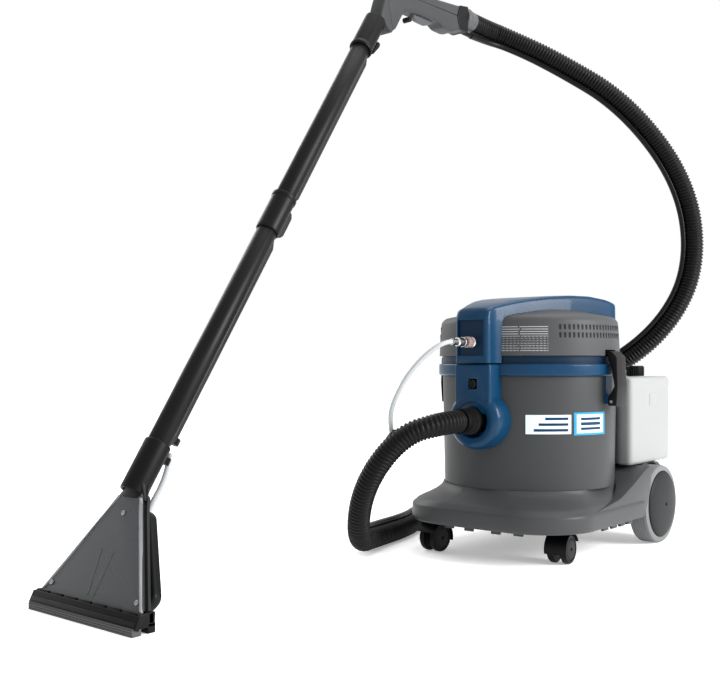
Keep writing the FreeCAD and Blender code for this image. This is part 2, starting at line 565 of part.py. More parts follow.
def make_nozzle():
    """Floor nozzle: back plate, clear front, lip, clamp bar, foot, screws, guard, feed tube."""
    plate = fan("0", "14", "5")
    rim = cut(fan("0", "4", "10"), fan("5", "4", "10"), box((-126, 126), (0, 20), (10, 28)))
    socket = on_wand(rod("collar_radius", 90, (0, 0, "-lower_length - 34")))
    seat = on_wand(rod("tube_radius", 90, (0, 0, "-lower_length")))
    passage = on_wand(rod("tube_radius - tube_wall", 90, (0, 0, "-lower_length - 40")))
    node("nozzle_body", cut(fuse(on_nozzle(fuse(plate, rim)), socket), seat, passage))
    outside = on_wand(rod("collar_radius + 0.1", 90, (0, 0, "-lower_length - 34")))
    node("nozzle_window", cut(on_nozzle(fan("0", "0", "4")), outside))
    wide = ("-nozzle_half_width", "nozzle_half_width")
    node("nozzle_clamp", on_nozzle(box(wide, (-5, 0), (16, 36))))
    sole = box(("wand_across - nozzle_half_width", "wand_across + nozzle_half_width"),
               ("nozzle_back - 12", "nozzle_back + 10"), (0, "lip_height"))
    node("nozzle_lip", sole)
    foot = box(("wand_across - nozzle_half_width", "wand_across + nozzle_half_width"),
               ("nozzle_back + 22", "nozzle_back + 36"), (0, "lip_height + 6"))
    cheeks = [slab([("nozzle_back - 6", "lip_height"), ("nozzle_back + 10", "lip_height"),
                    ("nozzle_back + 30", "lip_height + 6"), ("nozzle_back + 34", "lip_height + 6"),
                    ("nozzle_back + 36", 30), ("nozzle_back + 8", 30)], start, 5, "YZ_Plane")
              for start in ("wand_across - nozzle_half_width",
                            "wand_across + nozzle_half_width - 5")]
    bridges = [box(("wand_across - nozzle_half_width + 5", "wand_across + nozzle_half_width - 5"),
                   (f"nozzle_back + {near}", f"nozzle_back + {far}"), (low, 24))
               for near, far, low in ((0, 8, "lip_height"), (26, 34, "lip_height + 6"))]
    under = on_nozzle(fuse(box((-140, 140), (-5.1, 0), (15.9, 90)),
                           box((-140, 140), (-0.1, 19.1), (21.9, 90)),
                           box((-140, 140), (19, 36), (35.9, 90))))
    node("nozzle_throat", cut(fuse(foot, *cheeks, *bridges), under))
    screws = [turned([(0, 0), (4.5, 0), (4.5, 1.5), (3, 3), (0, 3)], (x, 0, z), (1, 0, 0), 90)
              for x, z in (("0", "nozzle_length - 42"), ("24 - nozzle_half_width", 46),
                           ("nozzle_half_width - 24", 46))]
    node("nozzle_screws", on_nozzle(gathered(screws)))
    body, sketch = sketched([(-112, 36), (112, 36), (118, 50), (34, 176), (-34, 176), (-118, 50)],
                            "XZ_Plane")
    pad = body.newObject("PartDesign::Pad", "pad")
    pad.Profile = sketch
    pad.Length = 14
    guard = put(body, (0, 33.1, 0))
    fitting = box((-9, 9), (33, 52), (150, 176))
    node("spray_guard", cut(on_nozzle(fuse(guard, fitting)), socket))


def make_handle():
    """Socket on the upper tube, hollow grip, trigger, valve and the swivel cuff."""
    top = "upper_length"
    collar = turned([("tube_radius", f"{top} - 44"), ("collar_radius + 1.5", f"{top} - 44"),
                     ("collar_radius + 1.5", f"{top} - 36"), ("collar_radius", f"{top} - 34"),
                     ("collar_radius", f"{top} + 44"), ("tube_radius - tube_wall", f"{top} + 44"),
                     ("tube_radius - tube_wall", top), ("tube_radius", top)])
    lugs = cut(box((-10, 10), ("collar_radius - 1", "collar_radius + 10"),
                   (f"{top} - 14", f"{top} - 6")),
               box((-7.4, 7.4), ("collar_radius + 0.5", 60), (f"{top} - 15", f"{top} - 5")),
               rod("collar_radius - 0.5", 20, (0, 0, f"{top} - 20")))
    node("handle_socket", on_wand(fuse(collar, lugs)))
    node("socket_button", on_wand(slab([("collar_radius + 3", f"{top} - 28"),
                                        ("collar_radius + 6", f"{top} - 26"),
                                        ("collar_radius + 12", f"{top} + 2"),
                                        ("collar_radius + 10", f"{top} + 8"),
                                        ("collar_radius + 3", f"{top} + 8")],
                                       -7, 14, "YZ_Plane")))
    half = "grip_half_width"
    axis = "grip_axis_high"
    grip = slab([(-251, f"{axis} - 62"), (-206, f"{axis} - 92"), (-186, f"{axis} - 60"),
                 (-166, f"{axis} - 28"), (-60, f"{axis} - 24"), (-30, f"{axis} - 30"),
                 (10, f"{axis} - 30"), (44, f"{axis} - 18"), ("grip_rear", f"{axis} - 16"),
                 ("grip_rear", f"{axis} + 44"), (-60, f"{axis} + 26"), (-190, f"{axis} + 16"),
                 (-232, f"{axis} - 20")], f"wand_across - ({half})", f"2 * {half}", "YZ_Plane")
    soft = rounded(grip, 9, lambda edge: edge.BoundBox.XLength < 0.001
                   and edge.BoundBox.ZMax > value("grip_axis_high - 55"))
    bend = put(rod("grip_bore", 330, (0, 0, 0)), ("wand_across", -205, 1158), (-1, 0, 0), 86)
    shaft = on_wand(rod("tube_radius - tube_wall", f"{top} + 96", (0, 0, 0)))
    clear = on_wand(rod("collar_radius + 0.02", f"{top} + 44", (0, 0, 0)))
    slot = box(("wand_across - 7", "wand_across + 7"), (-126, -44), (1120, 1150))
    node("handle_grip", cut(soft, bend, shaft, clear, slot))
    node("trigger", slab([(-118, 1128), (-62, 1126), (-48, 1134), (-48, 1144.4), (-122, 1144.4)],
                         "wand_across - 6.4", 12.8, "YZ_Plane"))
    node("wand_valve", rod(6, 18, ("wand_across - 9", -140, 1121), "x"))
    cuff = turned([("grip_bore + 1", 0), (23, 0), (25, 6), (25, 14), (22, 18), (22, 40),
                   ("grip_bore + 1", 40)], ("wand_across", "grip_rear + 0.6", 1182),
                  (-1, 0, 0), 90)
    node("hose_cuff_wand", cuff)
    node("line_nipple", rod("line_radius", 38, ("wand_across", "grip_rear + 0.1", 1150), "y"))


def cord_shape(route, radius):
    """Return a solid tube along straight runs joined by tangent arcs."""
    points = [Vector(*place) for place in route]
    edges, radii = [], []
    start = points[0]
    for before, corner, after in zip(points, points[1:], points[2:]):
        arrive, leave = corner - before, after - corner
        turn = arrive.getAngle(leave)
        trim = 0.45 * min(arrive.Length, leave.Length)
        bend = trim / math.tan(turn / 2)
        radii.append(round(bend / (2 * radius), 1))
        enter = corner - arrive.normalize() * trim
        leaving = after - corner
        leave_at = corner + leaving.normalize() * trim
        inward = (enter + leave_at) * 0.5 - corner
        reach = bend / math.cos(turn / 2) - bend
        middle = corner + inward.normalize() * reach
        edges.append(Part.LineSegment(start, enter).toShape())
        edges.append(Part.Arc(enter, middle, leave_at).toShape())
        start = leave_at
    edges.append(Part.LineSegment(start, points[-1]).toShape())
    path = Part.Wire(edges)
    direction = points[1] - points[0]
    ring = Part.Wire([Part.Circle(points[0], direction, radius).toShape()])
    tube = path.makePipeShell([ring], True, False)
    ideal = math.pi * radius ** 2 * path.Length
    print(f"length {path.Length:.0f} mm, volume ratio {tube.Volume / ideal:.4f}, "
          f"least radius {min(radii)} diameters, radii {radii}")
    return tube


def make_hoses():
    """Suction hose, black solution line beside it, clear line and the nozzle's feed."""
    cords = {"suction_hose": (HOSE_ROUTE, "hose_radius"),
             "solution_line": (LINE_ROUTE, "line_radius"),
             "clear_line": (CLEAR_ROUTE, "clear_radius"),
             "spray_tube": (SPRAY_ROUTE, "line_radius")}
    for label, (route, radius) in cords.items():
        item = doc.addObject("Part::Feature", label)
        print(label, end=": ")
        item.Shape = cord_shape(route, value(radius))
        node(label, item)
    node("line_joint", ball("line_radius + 0.5", LINE_JOINT))


def origin():
    """Return the floor point under the middle of everything except the hoses."""
    left = value("wand_across - nozzle_half_width")
    right = value("latch_pivot_out + 13")
    front = value("nozzle_back - 12")
    rear = value("tank_rear")
    return Vector((left + right) / 2, (front + rear) / 2, 0)


def main():
    """Make every sub-part, check it and write it out."""
    make_recovery_tank()
    make_trolley()
    for side, sign, angle in (("left", "-", 176), ("right", "", 4)):
        make_caster(side, sign, angle)
    make_head()
    make_latches()
    make_solution_tank()
    make_tubes()
    make_nozzle()
    make_handle()
    make_hoses()
    doc.recompute()
    failed = [item.Label for item in doc.Objects
              if "Invalid" in item.State or "Error" in item.State]
    for label, item in nodes.items():
        if item.Shape.isNull() or not item.Shape.isValid() or not item.Shape.Solids:
            failed.append(label)
    if failed:
        raise RuntimeError(f"failed: {failed}")
    os.makedirs("parts", exist_ok=True)
    shift = origin() * -1
    for label, item in nodes.items():
        shape = item.Shape.copy()
        shape.translate(shift)
        shape.exportStep(f"parts/{label}.step")
    print(f"{len(nodes)} sub-parts, origin at {tuple(origin())}")


main()
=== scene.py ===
"""Carpet cleaner with its wand and hose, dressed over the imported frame.

Sizes are millimetres in the machine's own frame: the drum's axis is x = y = 0, the floor is
z = 0 and the front faces -Y. Every mesh is written in metres in the row frame.
"""
import logging
import math
from dataclasses import dataclass, field
from enum import Enum
from typing import Callable, Optional, Sequence

import bmesh
import bpy
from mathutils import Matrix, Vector


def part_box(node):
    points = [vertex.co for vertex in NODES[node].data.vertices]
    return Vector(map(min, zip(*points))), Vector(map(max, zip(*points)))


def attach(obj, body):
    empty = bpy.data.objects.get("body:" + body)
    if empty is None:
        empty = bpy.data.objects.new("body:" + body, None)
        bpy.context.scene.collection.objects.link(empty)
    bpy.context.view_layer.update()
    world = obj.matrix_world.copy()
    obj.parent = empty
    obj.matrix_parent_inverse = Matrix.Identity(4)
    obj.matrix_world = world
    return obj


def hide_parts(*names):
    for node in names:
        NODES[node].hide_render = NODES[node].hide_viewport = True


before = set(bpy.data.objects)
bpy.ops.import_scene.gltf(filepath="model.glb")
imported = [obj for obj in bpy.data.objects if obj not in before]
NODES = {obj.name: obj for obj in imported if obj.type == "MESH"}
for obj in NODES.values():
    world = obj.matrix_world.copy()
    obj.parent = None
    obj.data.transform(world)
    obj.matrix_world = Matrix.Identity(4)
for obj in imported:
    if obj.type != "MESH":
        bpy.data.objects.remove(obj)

LOG = logging.getLogger("carpet_cleaner")
Point = tuple[float, float, float]
Outline = list[tuple[float, float]]
Frame = Callable[[float, float, float], Point]

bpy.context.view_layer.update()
DRUM_LOW, DRUM_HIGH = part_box("drum")
AXIS = (DRUM_LOW + DRUM_HIGH) / 2
WAND_LEAN = math.radians(34)
NOZZLE_LEAN = math.radians(27)
WAND_ACROSS = -218.0
JOINT = (-534.0, 658.0)
NOZZLE_BACK = -950.0
HEAD = "head"
MACHINE = "machine"


def metres(x: float, y: float, z: float) -> Point:
    """Return the row frame's metres for a place in the machine's millimetres."""
    return (AXIS.x + x * 0.001, AXIS.y + y * 0.001, z * 0.001)


def upright(x: float, y: float, z: float) -> Point:
    """Return a place that is already in the machine's frame."""
    return (x, y, z)


def leaned(angle: float, start_y: float, start_z: float) -> Frame:
    """Return a frame in the wand's plane whose Z leans back from upright.

    Args:
        angle: The lean from vertical, in radians.
        start_y: The frame's origin along Y.
        start_z: The frame's origin along Z.

    Returns:
        A function from the leaned frame to the machine's frame.
    """
    cosine, sine = math.cos(angle), math.sin(angle)
    return lambda x, y, z: (WAND_ACROSS + x, start_y + y * cosine + z * sine,
                            start_z - y * sine + z * cosine)


ON_WAND = leaned(WAND_LEAN, *JOINT)
ON_NOZZLE = leaned(NOZZLE_LEAN, NOZZLE_BACK, 0)


def on_fan(u: float, v: float, w: float) -> Point:
    """Return the place of a point on the nozzle's fan: u across, v up it, w back from it."""
    return ON_NOZZLE(u, w, v)


def facing_front(y: float, z: float, x: float = 0) -> Frame:
    """Return a frame whose Z points out of the machine's front, at a place on it."""
    return lambda u, v, w: (x + u, y - w, z + v)


def facing_side(x: float, y: float, z: float, sign: float) -> Frame:
    """Return a frame whose Z points out of the machine's side, to +X or -X."""
    return lambda u, v, w: (x + sign * w, y + u, z + v)


def across_x(u: float, v: float, w: float) -> Point:
    """Return the place of a side outline's point (u along Y, v up) at w across."""
    return (w, u, v)


def linear(code: str) -> tuple[float, float, float, float]:
    """Return the linear colour of an sRGB hex code."""
    parts = [int(code[index:index + 2], 16) / 255 for index in (1, 3, 5)]
    straight = [part / 12.92 if part <= 0.04045 else ((part + 0.055) / 1.055) ** 2.4
                for part in parts]
    return (*straight, 1.0)


def add(tree: bpy.types.NodeTree, kind: str, inputs: Optional[dict] = None,
        **settings: object) -> bpy.types.Node:
    """Add a node with its settings, values and links.

    Args:
        tree: The tree that the node joins.
        kind: The node's type.
        inputs: A value or a source socket for each input, by name or number.
        **settings: The node's own properties.

    Returns:
        The new node.
    """
    item = tree.nodes.new(kind)
    for name, setting in settings.items():
        setattr(item, name, setting)
    for key, source in (inputs or {}).items():
        if isinstance(source, bpy.types.NodeSocket):
            tree.links.new(source, item.inputs[key])
        else:
            item.inputs[key].default_value = source
    return item


@dataclass(frozen=True)
class Finish:
    """A moulded or metal surface: two tones, a fine grain and a slow change of gloss."""

    name: str
    slot: str
    colour: str
    deep: str
    roughness: float = 0.45
    grain_mm: float = 1.2
    relief_mm: float = 0.06
    metallic: float = 0.0
    coat: float = 0.0
    transmission: float = 0.0
    subsurface: float = 0.0
    specular: float = 0.12

    def material(self) -> bpy.types.Material:
        """Return this finish's material, made once."""
        kept = bpy.data.materials.get(self.name)
        return kept or self.mixed()

    def mixed(self) -> bpy.types.Material:
        """Return a new material with this finish's nodes."""
        material = bpy.data.materials.new(self.name)
        material.use_nodes = True
        tree = material.node_tree
        tree.nodes.clear()
        place = add(tree, "ShaderNodeTexCoord").outputs["Object"]
        grain = add(tree, "ShaderNodeTexNoise",
                    {"Vector": place, "Scale": 1000 / self.grain_mm, "Detail": 3.0})
        cloud = add(tree, "ShaderNodeTexNoise", {"Vector": place, "Scale": 9.0, "Detail": 4.0})
        tone = add(tree, "ShaderNodeMix",
                   {0: cloud.outputs["Fac"], 6: linear(self.deep), 7: linear(self.colour)},
                   data_type="RGBA")
        gloss = add(tree, "ShaderNodeMapRange",
                    {"Value": cloud.outputs["Fac"], "From Min": 0.3, "From Max": 0.7,
                     "To Min": self.roughness - 0.05, "To Max": self.roughness + 0.06})
        bump = add(tree, "ShaderNodeBump",
                   {"Height": grain.outputs["Fac"], "Strength": 0.35,
                    "Distance": self.relief_mm * 0.001})
        shader = add(tree, "ShaderNodeBsdfPrincipled",
                     {"Base Color": tone.outputs[2], "Roughness": gloss.outputs["Result"],
                      "Normal": bump.outputs["Normal"], "Metallic": self.metallic,
                      "Specular IOR Level": self.specular, "Coat Weight": self.coat,
                      "Transmission Weight": self.transmission,
                      "Subsurface Weight": self.subsurface})
        if self.subsurface:
            shader.inputs["Subsurface Radius"].default_value = (0.012, 0.012, 0.012)
        add(tree, "ShaderNodeOutputMaterial", {"Surface": shader.outputs["BSDF"]})
        return material


class Palette(Enum):
    """Every finish on the machine, named for its plastic, rubber or metal, with two painted
    colours: shade in the vent slots and a highlight on the window's rims.
    """

    # Spark-eroded polypropylene: a soft satin with a fine even grain.
    DRUM = Finish("moulded polypropylene drum grey", "drum_grey", "#373839", "#323334", 0.42)
    HEAD = Finish("moulded polypropylene head grey", "head_grey", "#404142", "#3a3b3c", 0.44)
    BASE = Finish("moulded polypropylene trolley grey", "base_grey", "#3d3e3f", "#363738", 0.4)
    # Glossy ABS: deep blue with a clear sharp highlight along its edges.
    BLUE = Finish("moulded ABS blue", "blue_plastic", "#06304d", "#052942", 0.32, 2.0, 0.03,
                  coat=0.08)
    DEEP_BLUE = Finish("moulded ABS dark blue", "dark_blue_plastic", "#041f35", "#03192c", 0.4)
    # Glass-filled nylon: nearly black, a little open in its shine.
    BLACK = Finish("moulded nylon black", "black_plastic", "#060607", "#040405", 0.42)
    WAND = Finish("extruded ABS wand charcoal", "wand_grey", "#0d0d0e", "#0a0a0b", 0.4, 1.6)
    CHANNEL = Finish("extruded ABS channel grey", "wand_grey", "#29292a", "#232324", 0.38, 1.6)
    LEVER = Finish("moulded nylon charcoal", "black_plastic", "#19191a", "#141415", 0.42)
    GRIP = Finish("moulded ABS grip charcoal", "wand_grey", "#38393a", "#303132", 0.42)
    LIGHT = Finish("moulded ABS light grey", "light_grey", "#4c4d4e", "#444546", 0.42)
    PLATE = Finish("moulded ABS nozzle grey", "wand_grey", "#262728", "#212223", 0.5, 2.0, 0.004)
    # Soft PVC tyre: dull, with the mould's bloom on it.
    TYRE = Finish("moulded PVC tyre grey", "tyre_grey", "#6b6c6d", "#606162", 0.55, 1.5, 0.1)
    HUB = Finish("moulded polypropylene hub charcoal", "hub_grey", "#1c1d1e", "#171819", 0.5)
    # Blow-moulded HDPE: milky, with light carried a little way under its skin.
    TANK = Finish("blown HDPE natural white", "tank_white", "#8a8b8b", "#858686", 0.42, 3.0, 0.05,
                  subsurface=0.25)
    # Blown EVA hose: black, shiny on the crown of each ridge.
    HOSE = Finish("corrugated EVA hose black", "hose_black", "#070708", "#050506", 0.42, 2.0)
    LINE = Finish("extruded PVC line black", "hose_black", "#0c0c0d", "#09090a", 0.3, 2.0)
    CLEAR_TUBE = Finish("extruded PVC line clear", "clear_plastic", "#a9acae", "#9c9fa1", 0.28,
                        6.0, 0.005, transmission=0.08)
    WINDOW = Finish("moulded polycarbonate smoke clear", "clear_plastic", "#505254", "#4c4e50",
                    0.24, 60.0, 0.001, transmission=0.55, specular=0.15)
    # Painted highlight: the window's slanted rims are coloured nearly white for the line of light
    # along their edges.
    WINDOW_RIM_HIGHLIGHT = Finish("painted highlight on window rims", "clear_plastic", "#8e9194", "#808386",
                         0.15, 4.0, 0.02, transmission=0.2)
    STEEL = Finish("turned stainless steel", "bright_steel", "#8e8f90", "#7c7d7e", 0.32,
                   0.8, 0.03, metallic=1.0)
    NICKEL = Finish("nickel plated brass", "coupler_metal", "#cfcdc8", "#b7b5b0", 0.22, 1.0,
                    0.02, metallic=1.0)
    ROSE = Finish("anodised aluminium rose ring", "pink_collar", "#9d8684", "#8a7472", 0.35,
                  metallic=0.5)
    PALE = Finish("printed vinyl pale grey", "light_grey", "#97989a", "#8c8d8f", 0.5)
    WHITE = Finish("printed vinyl white", "tank_white", "#c3ccd2", "#b9c1c7", 0.45)
    CYAN = Finish("printed vinyl light blue", "blue_plastic", "#2b86ad", "#257ca1", 0.45)
    # Painted shade: a near-black sheet laid in each vent slot stands for the shadow inside the open
    # hole.
    SLOT_SHADE = Finish("painted shade in vent slots", "black_rubber", "#16181c", "#111317", 0.6)

    @property
    def material(self) -> bpy.types.Material:
        """Return the finish's material."""
        return self.value.material()


def settle(item: bpy.types.Object, finish: Palette, body: str,
           replaces: Sequence[str] = ()) -> bpy.types.Object:
    """Dress a finished piece and hang it on its body.

    Args:
        item: The piece.
        finish: Its finish, put in its first slot if it has none.
        body: The body that it rides on.
        replaces: The CAD nodes that it stands for.

    Returns:
        The piece.
    """
    if not item.data.materials:
        item.data.materials.append(finish.material)
    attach(item, body)
    if replaces:
        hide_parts(*replaces)
    LOG.info("piece %s on %s", item.name, body)
    return item


def plain_mesh(item: bpy.types.Object) -> bpy.types.Object:
    """Turn an object's evaluated shape into a plain mesh with no modifiers."""
    bpy.context.view_layer.update()
    graph = bpy.context.evaluated_depsgraph_get()
    mesh = bpy.data.meshes.new_from_object(item.evaluated_get(graph), depsgraph=graph)
    mesh.name = item.name
    name = item.name
    bpy.data.objects.remove(item)
    made = bpy.data.objects.new(name, mesh)
    bpy.context.scene.collection.objects.link(made)
    return made


def shade(mesh: bpy.types.Mesh, angle: float = 35) -> None:
    """Shade a mesh smooth, with edges over the angle in degrees kept crisp."""
    mesh.shade_smooth()
    mesh.set_sharp_from_angle(angle=math.radians(angle))


@dataclass
class Shell:
    """A mesh in the making, in millimetres of some frame."""

    points: list[Point] = field(default_factory=list)
    faces: list[list[int]] = field(default_factory=list)

    def joined(self, other: "Shell") -> "Shell":
        """Return this shell with another one added."""
        start = len(self.points)
        self.points.extend(other.points)
        self.faces.extend([[start + index for index in face] for face in other.faces])
        return self

    def moved(self, place: Frame) -> "Shell":
        """Return the shell taken through a frame."""
        return Shell([place(*point) for point in self.points], self.faces)

    def made(self, name: str, finish: Palette, body: str, replaces: Sequence[str] = (),
             bevel: float = 0, steps: int = 3, place: Frame = upright, angle: float = 35,
             cutter: Optional["Shell"] = None) -> bpy.types.Object:
        """Make the shell a finished piece.

        Args:
            name: The piece's name.
            finish: Its finish.
            body: The body that it rides on.
            replaces: The CAD nodes that it stands for.
            bevel: The width of the rounding on its edges, in millimetres.
            steps: The rounding's segments.
            place: The frame that its points are in.
            angle: The least angle in degrees of an edge kept crisp.
            cutter: A shell in the same frame that is taken out of it.

        Returns:
            The piece.
        """
        item = self.rough(name, place)
        if cutter is not None:
            tool = cutter.rough(name + "_tool", place)
            part = item.modifiers.new("cut", "BOOLEAN")
            part.object = tool
            part.solver = "EXACT"
            item = plain_mesh(item)
            bpy.data.objects.remove(tool)
        if bevel:
            part = item.modifiers.new("round", "BEVEL")
            part.width = bevel * 0.001
            part.segments = steps
            part.limit_method = "ANGLE"
            part.angle_limit = math.radians(32)
            item = plain_mesh(item)
        shade(item.data, angle)
        return settle(item, finish, body, replaces)

    def rough(self, name: str, place: Frame) -> bpy.types.Object:
        """Return the shell as an object, its doubles merged and its faces turned outwards."""
        mesh = bpy.data.meshes.new(name)
        mesh.from_pydata([metres(*place(*point)) for point in self.points], [], self.faces)
        work = bmesh.new()
        work.from_mesh(mesh)
        bmesh.ops.remove_doubles(work, verts=work.verts, dist=1e-6)
        bmesh.ops.recalc_face_normals(work, faces=work.faces)
        work.to_mesh(mesh)
        work.free()
        item = bpy.data.objects.new(name, mesh)
        bpy.context.scene.collection.objects.link(item)
        return item


def softened(outline: Outline, radius: float, steps: int = 4, closed: bool = False) -> Outline:
    """Return an outline with its corners rounded.

    Args:
        outline: The corners.
        radius: The largest rounding; short sides take less.
        steps: The segments of each rounding.
        closed: Whether the last corner joins the first.

    Returns:
        The rounded outline.
    """
    count = len(outline)
    result: Outline = []
    for index, corner in enumerate(outline):
        if not closed and index in (0, count - 1):
            result.append(corner)
            continue
        here = Vector(corner)
        before = Vector(outline[index - 1]) - here
        after = Vector(outline[(index + 1) % count]) - here
        trim = min(radius, 0.45 * before.length, 0.45 * after.length)
        start, end = here + before.normalized() * trim, here + after.normalized() * trim
        for step in range(steps + 1):
            t = step / steps
            spot = start * (1 - t) ** 2 + here * 2 * t * (1 - t) + end * t ** 2
            result.append((spot.x, spot.y))
    return result


def lathe(profile: Outline, segments: int = 96, closed: bool = False) -> Shell:
    """Return a turned shell about Z.

    Args:
        profile: Radius and height of each point.
        segments: The steps round the axis.
        closed: Whether the profile is a loop.

    Returns:
        The shell.
    """
    shell = Shell()
    rings: list[list[int]] = []
    for radius, height in profile:
        start = len(shell.points)
        count = segments if radius > 0.01 else 1
        shell.points += [(radius * math.cos(math.tau * step / segments),
                          radius * math.sin(math.tau * step / segments), height)
                         for step in range(count)]
        rings.append(list(range(start, start + count)))
    following = rings[1:] + (rings[:1] if closed else [])
    for low, high in zip(rings, following):
        for step in range(segments):
            after = (step + 1) % segments
            corners = [low[step % len(low)], low[after % len(low)], high[after % len(high)],
                       high[step % len(high)]]
            face = list(dict.fromkeys(corners))
            if len(face) > 2:
                shell.faces.append(face)
    return shell


def loft(rings: Sequence[Sequence[Point]], capped: bool = True) -> Shell:
    """Return a shell through closed rings of equal count, with flat ends."""
    count = len(rings[0])
    shell = Shell([point for ring in rings for point in ring])
    for level in range(len(rings) - 1):
        start = level * count
        for step in range(count):
            after = (step + 1) % count
            shell.faces.append([start + step, start + after, start + count + after,
                                start + count + step])
    if capped:
        shell.faces.append(list(range(count))[::-1])
        shell.faces.append(list(range((len(rings) - 1) * count, len(rings) * count)))
    return shell


def prism(outline: Outline, low: float, high: float) -> Shell:
    """Return a flat outline carried from one height to another."""
    return loft([[(u, v, low) for u, v in outline], [(u, v, high) for u, v in outline]])


def side_prism(outline: Outline, low: float, high: float) -> Shell:
    """Return a side outline (u along Y, v up) carried from one X to another."""
    return prism(outline, low, high).moved(across_x)


def block(x: tuple[float, float], y: tuple[float, float], z: tuple[float, float]) -> Shell:
    """Return a box between three pairs of limits."""
    return prism([(x[0], y[0]), (x[1], y[0]), (x[1], y[1]), (x[0], y[1])], *z)


def wrapped(radius: float, angles: tuple[float, float], heights: tuple[float, float],
            thick: float = 0.4) -> Shell:
    """Return a thin patch on an upright cylinder.

    Args:
        radius: The cylinder's radius.
        angles: Its start and end in degrees, from the front towards +X.
        heights: Its lower and upper edges.
        thick: How far it stands off the cylinder.

    Returns:
        The patch as a closed shell.
    """
    steps = max(2, int((angles[1] - angles[0]) / 2))
    rings = []
    for step in range(steps + 1):
        turn = math.radians(angles[0] + (angles[1] - angles[0]) * step / steps)
        rings.append([(reach * math.sin(turn), -reach * math.cos(turn), height)
                      for reach, height in ((radius - 1, heights[0]), (radius + thick, heights[0]),
                                            (radius + thick, heights[1]),
                                            (radius - 1, heights[1]))])
    return loft(rings)


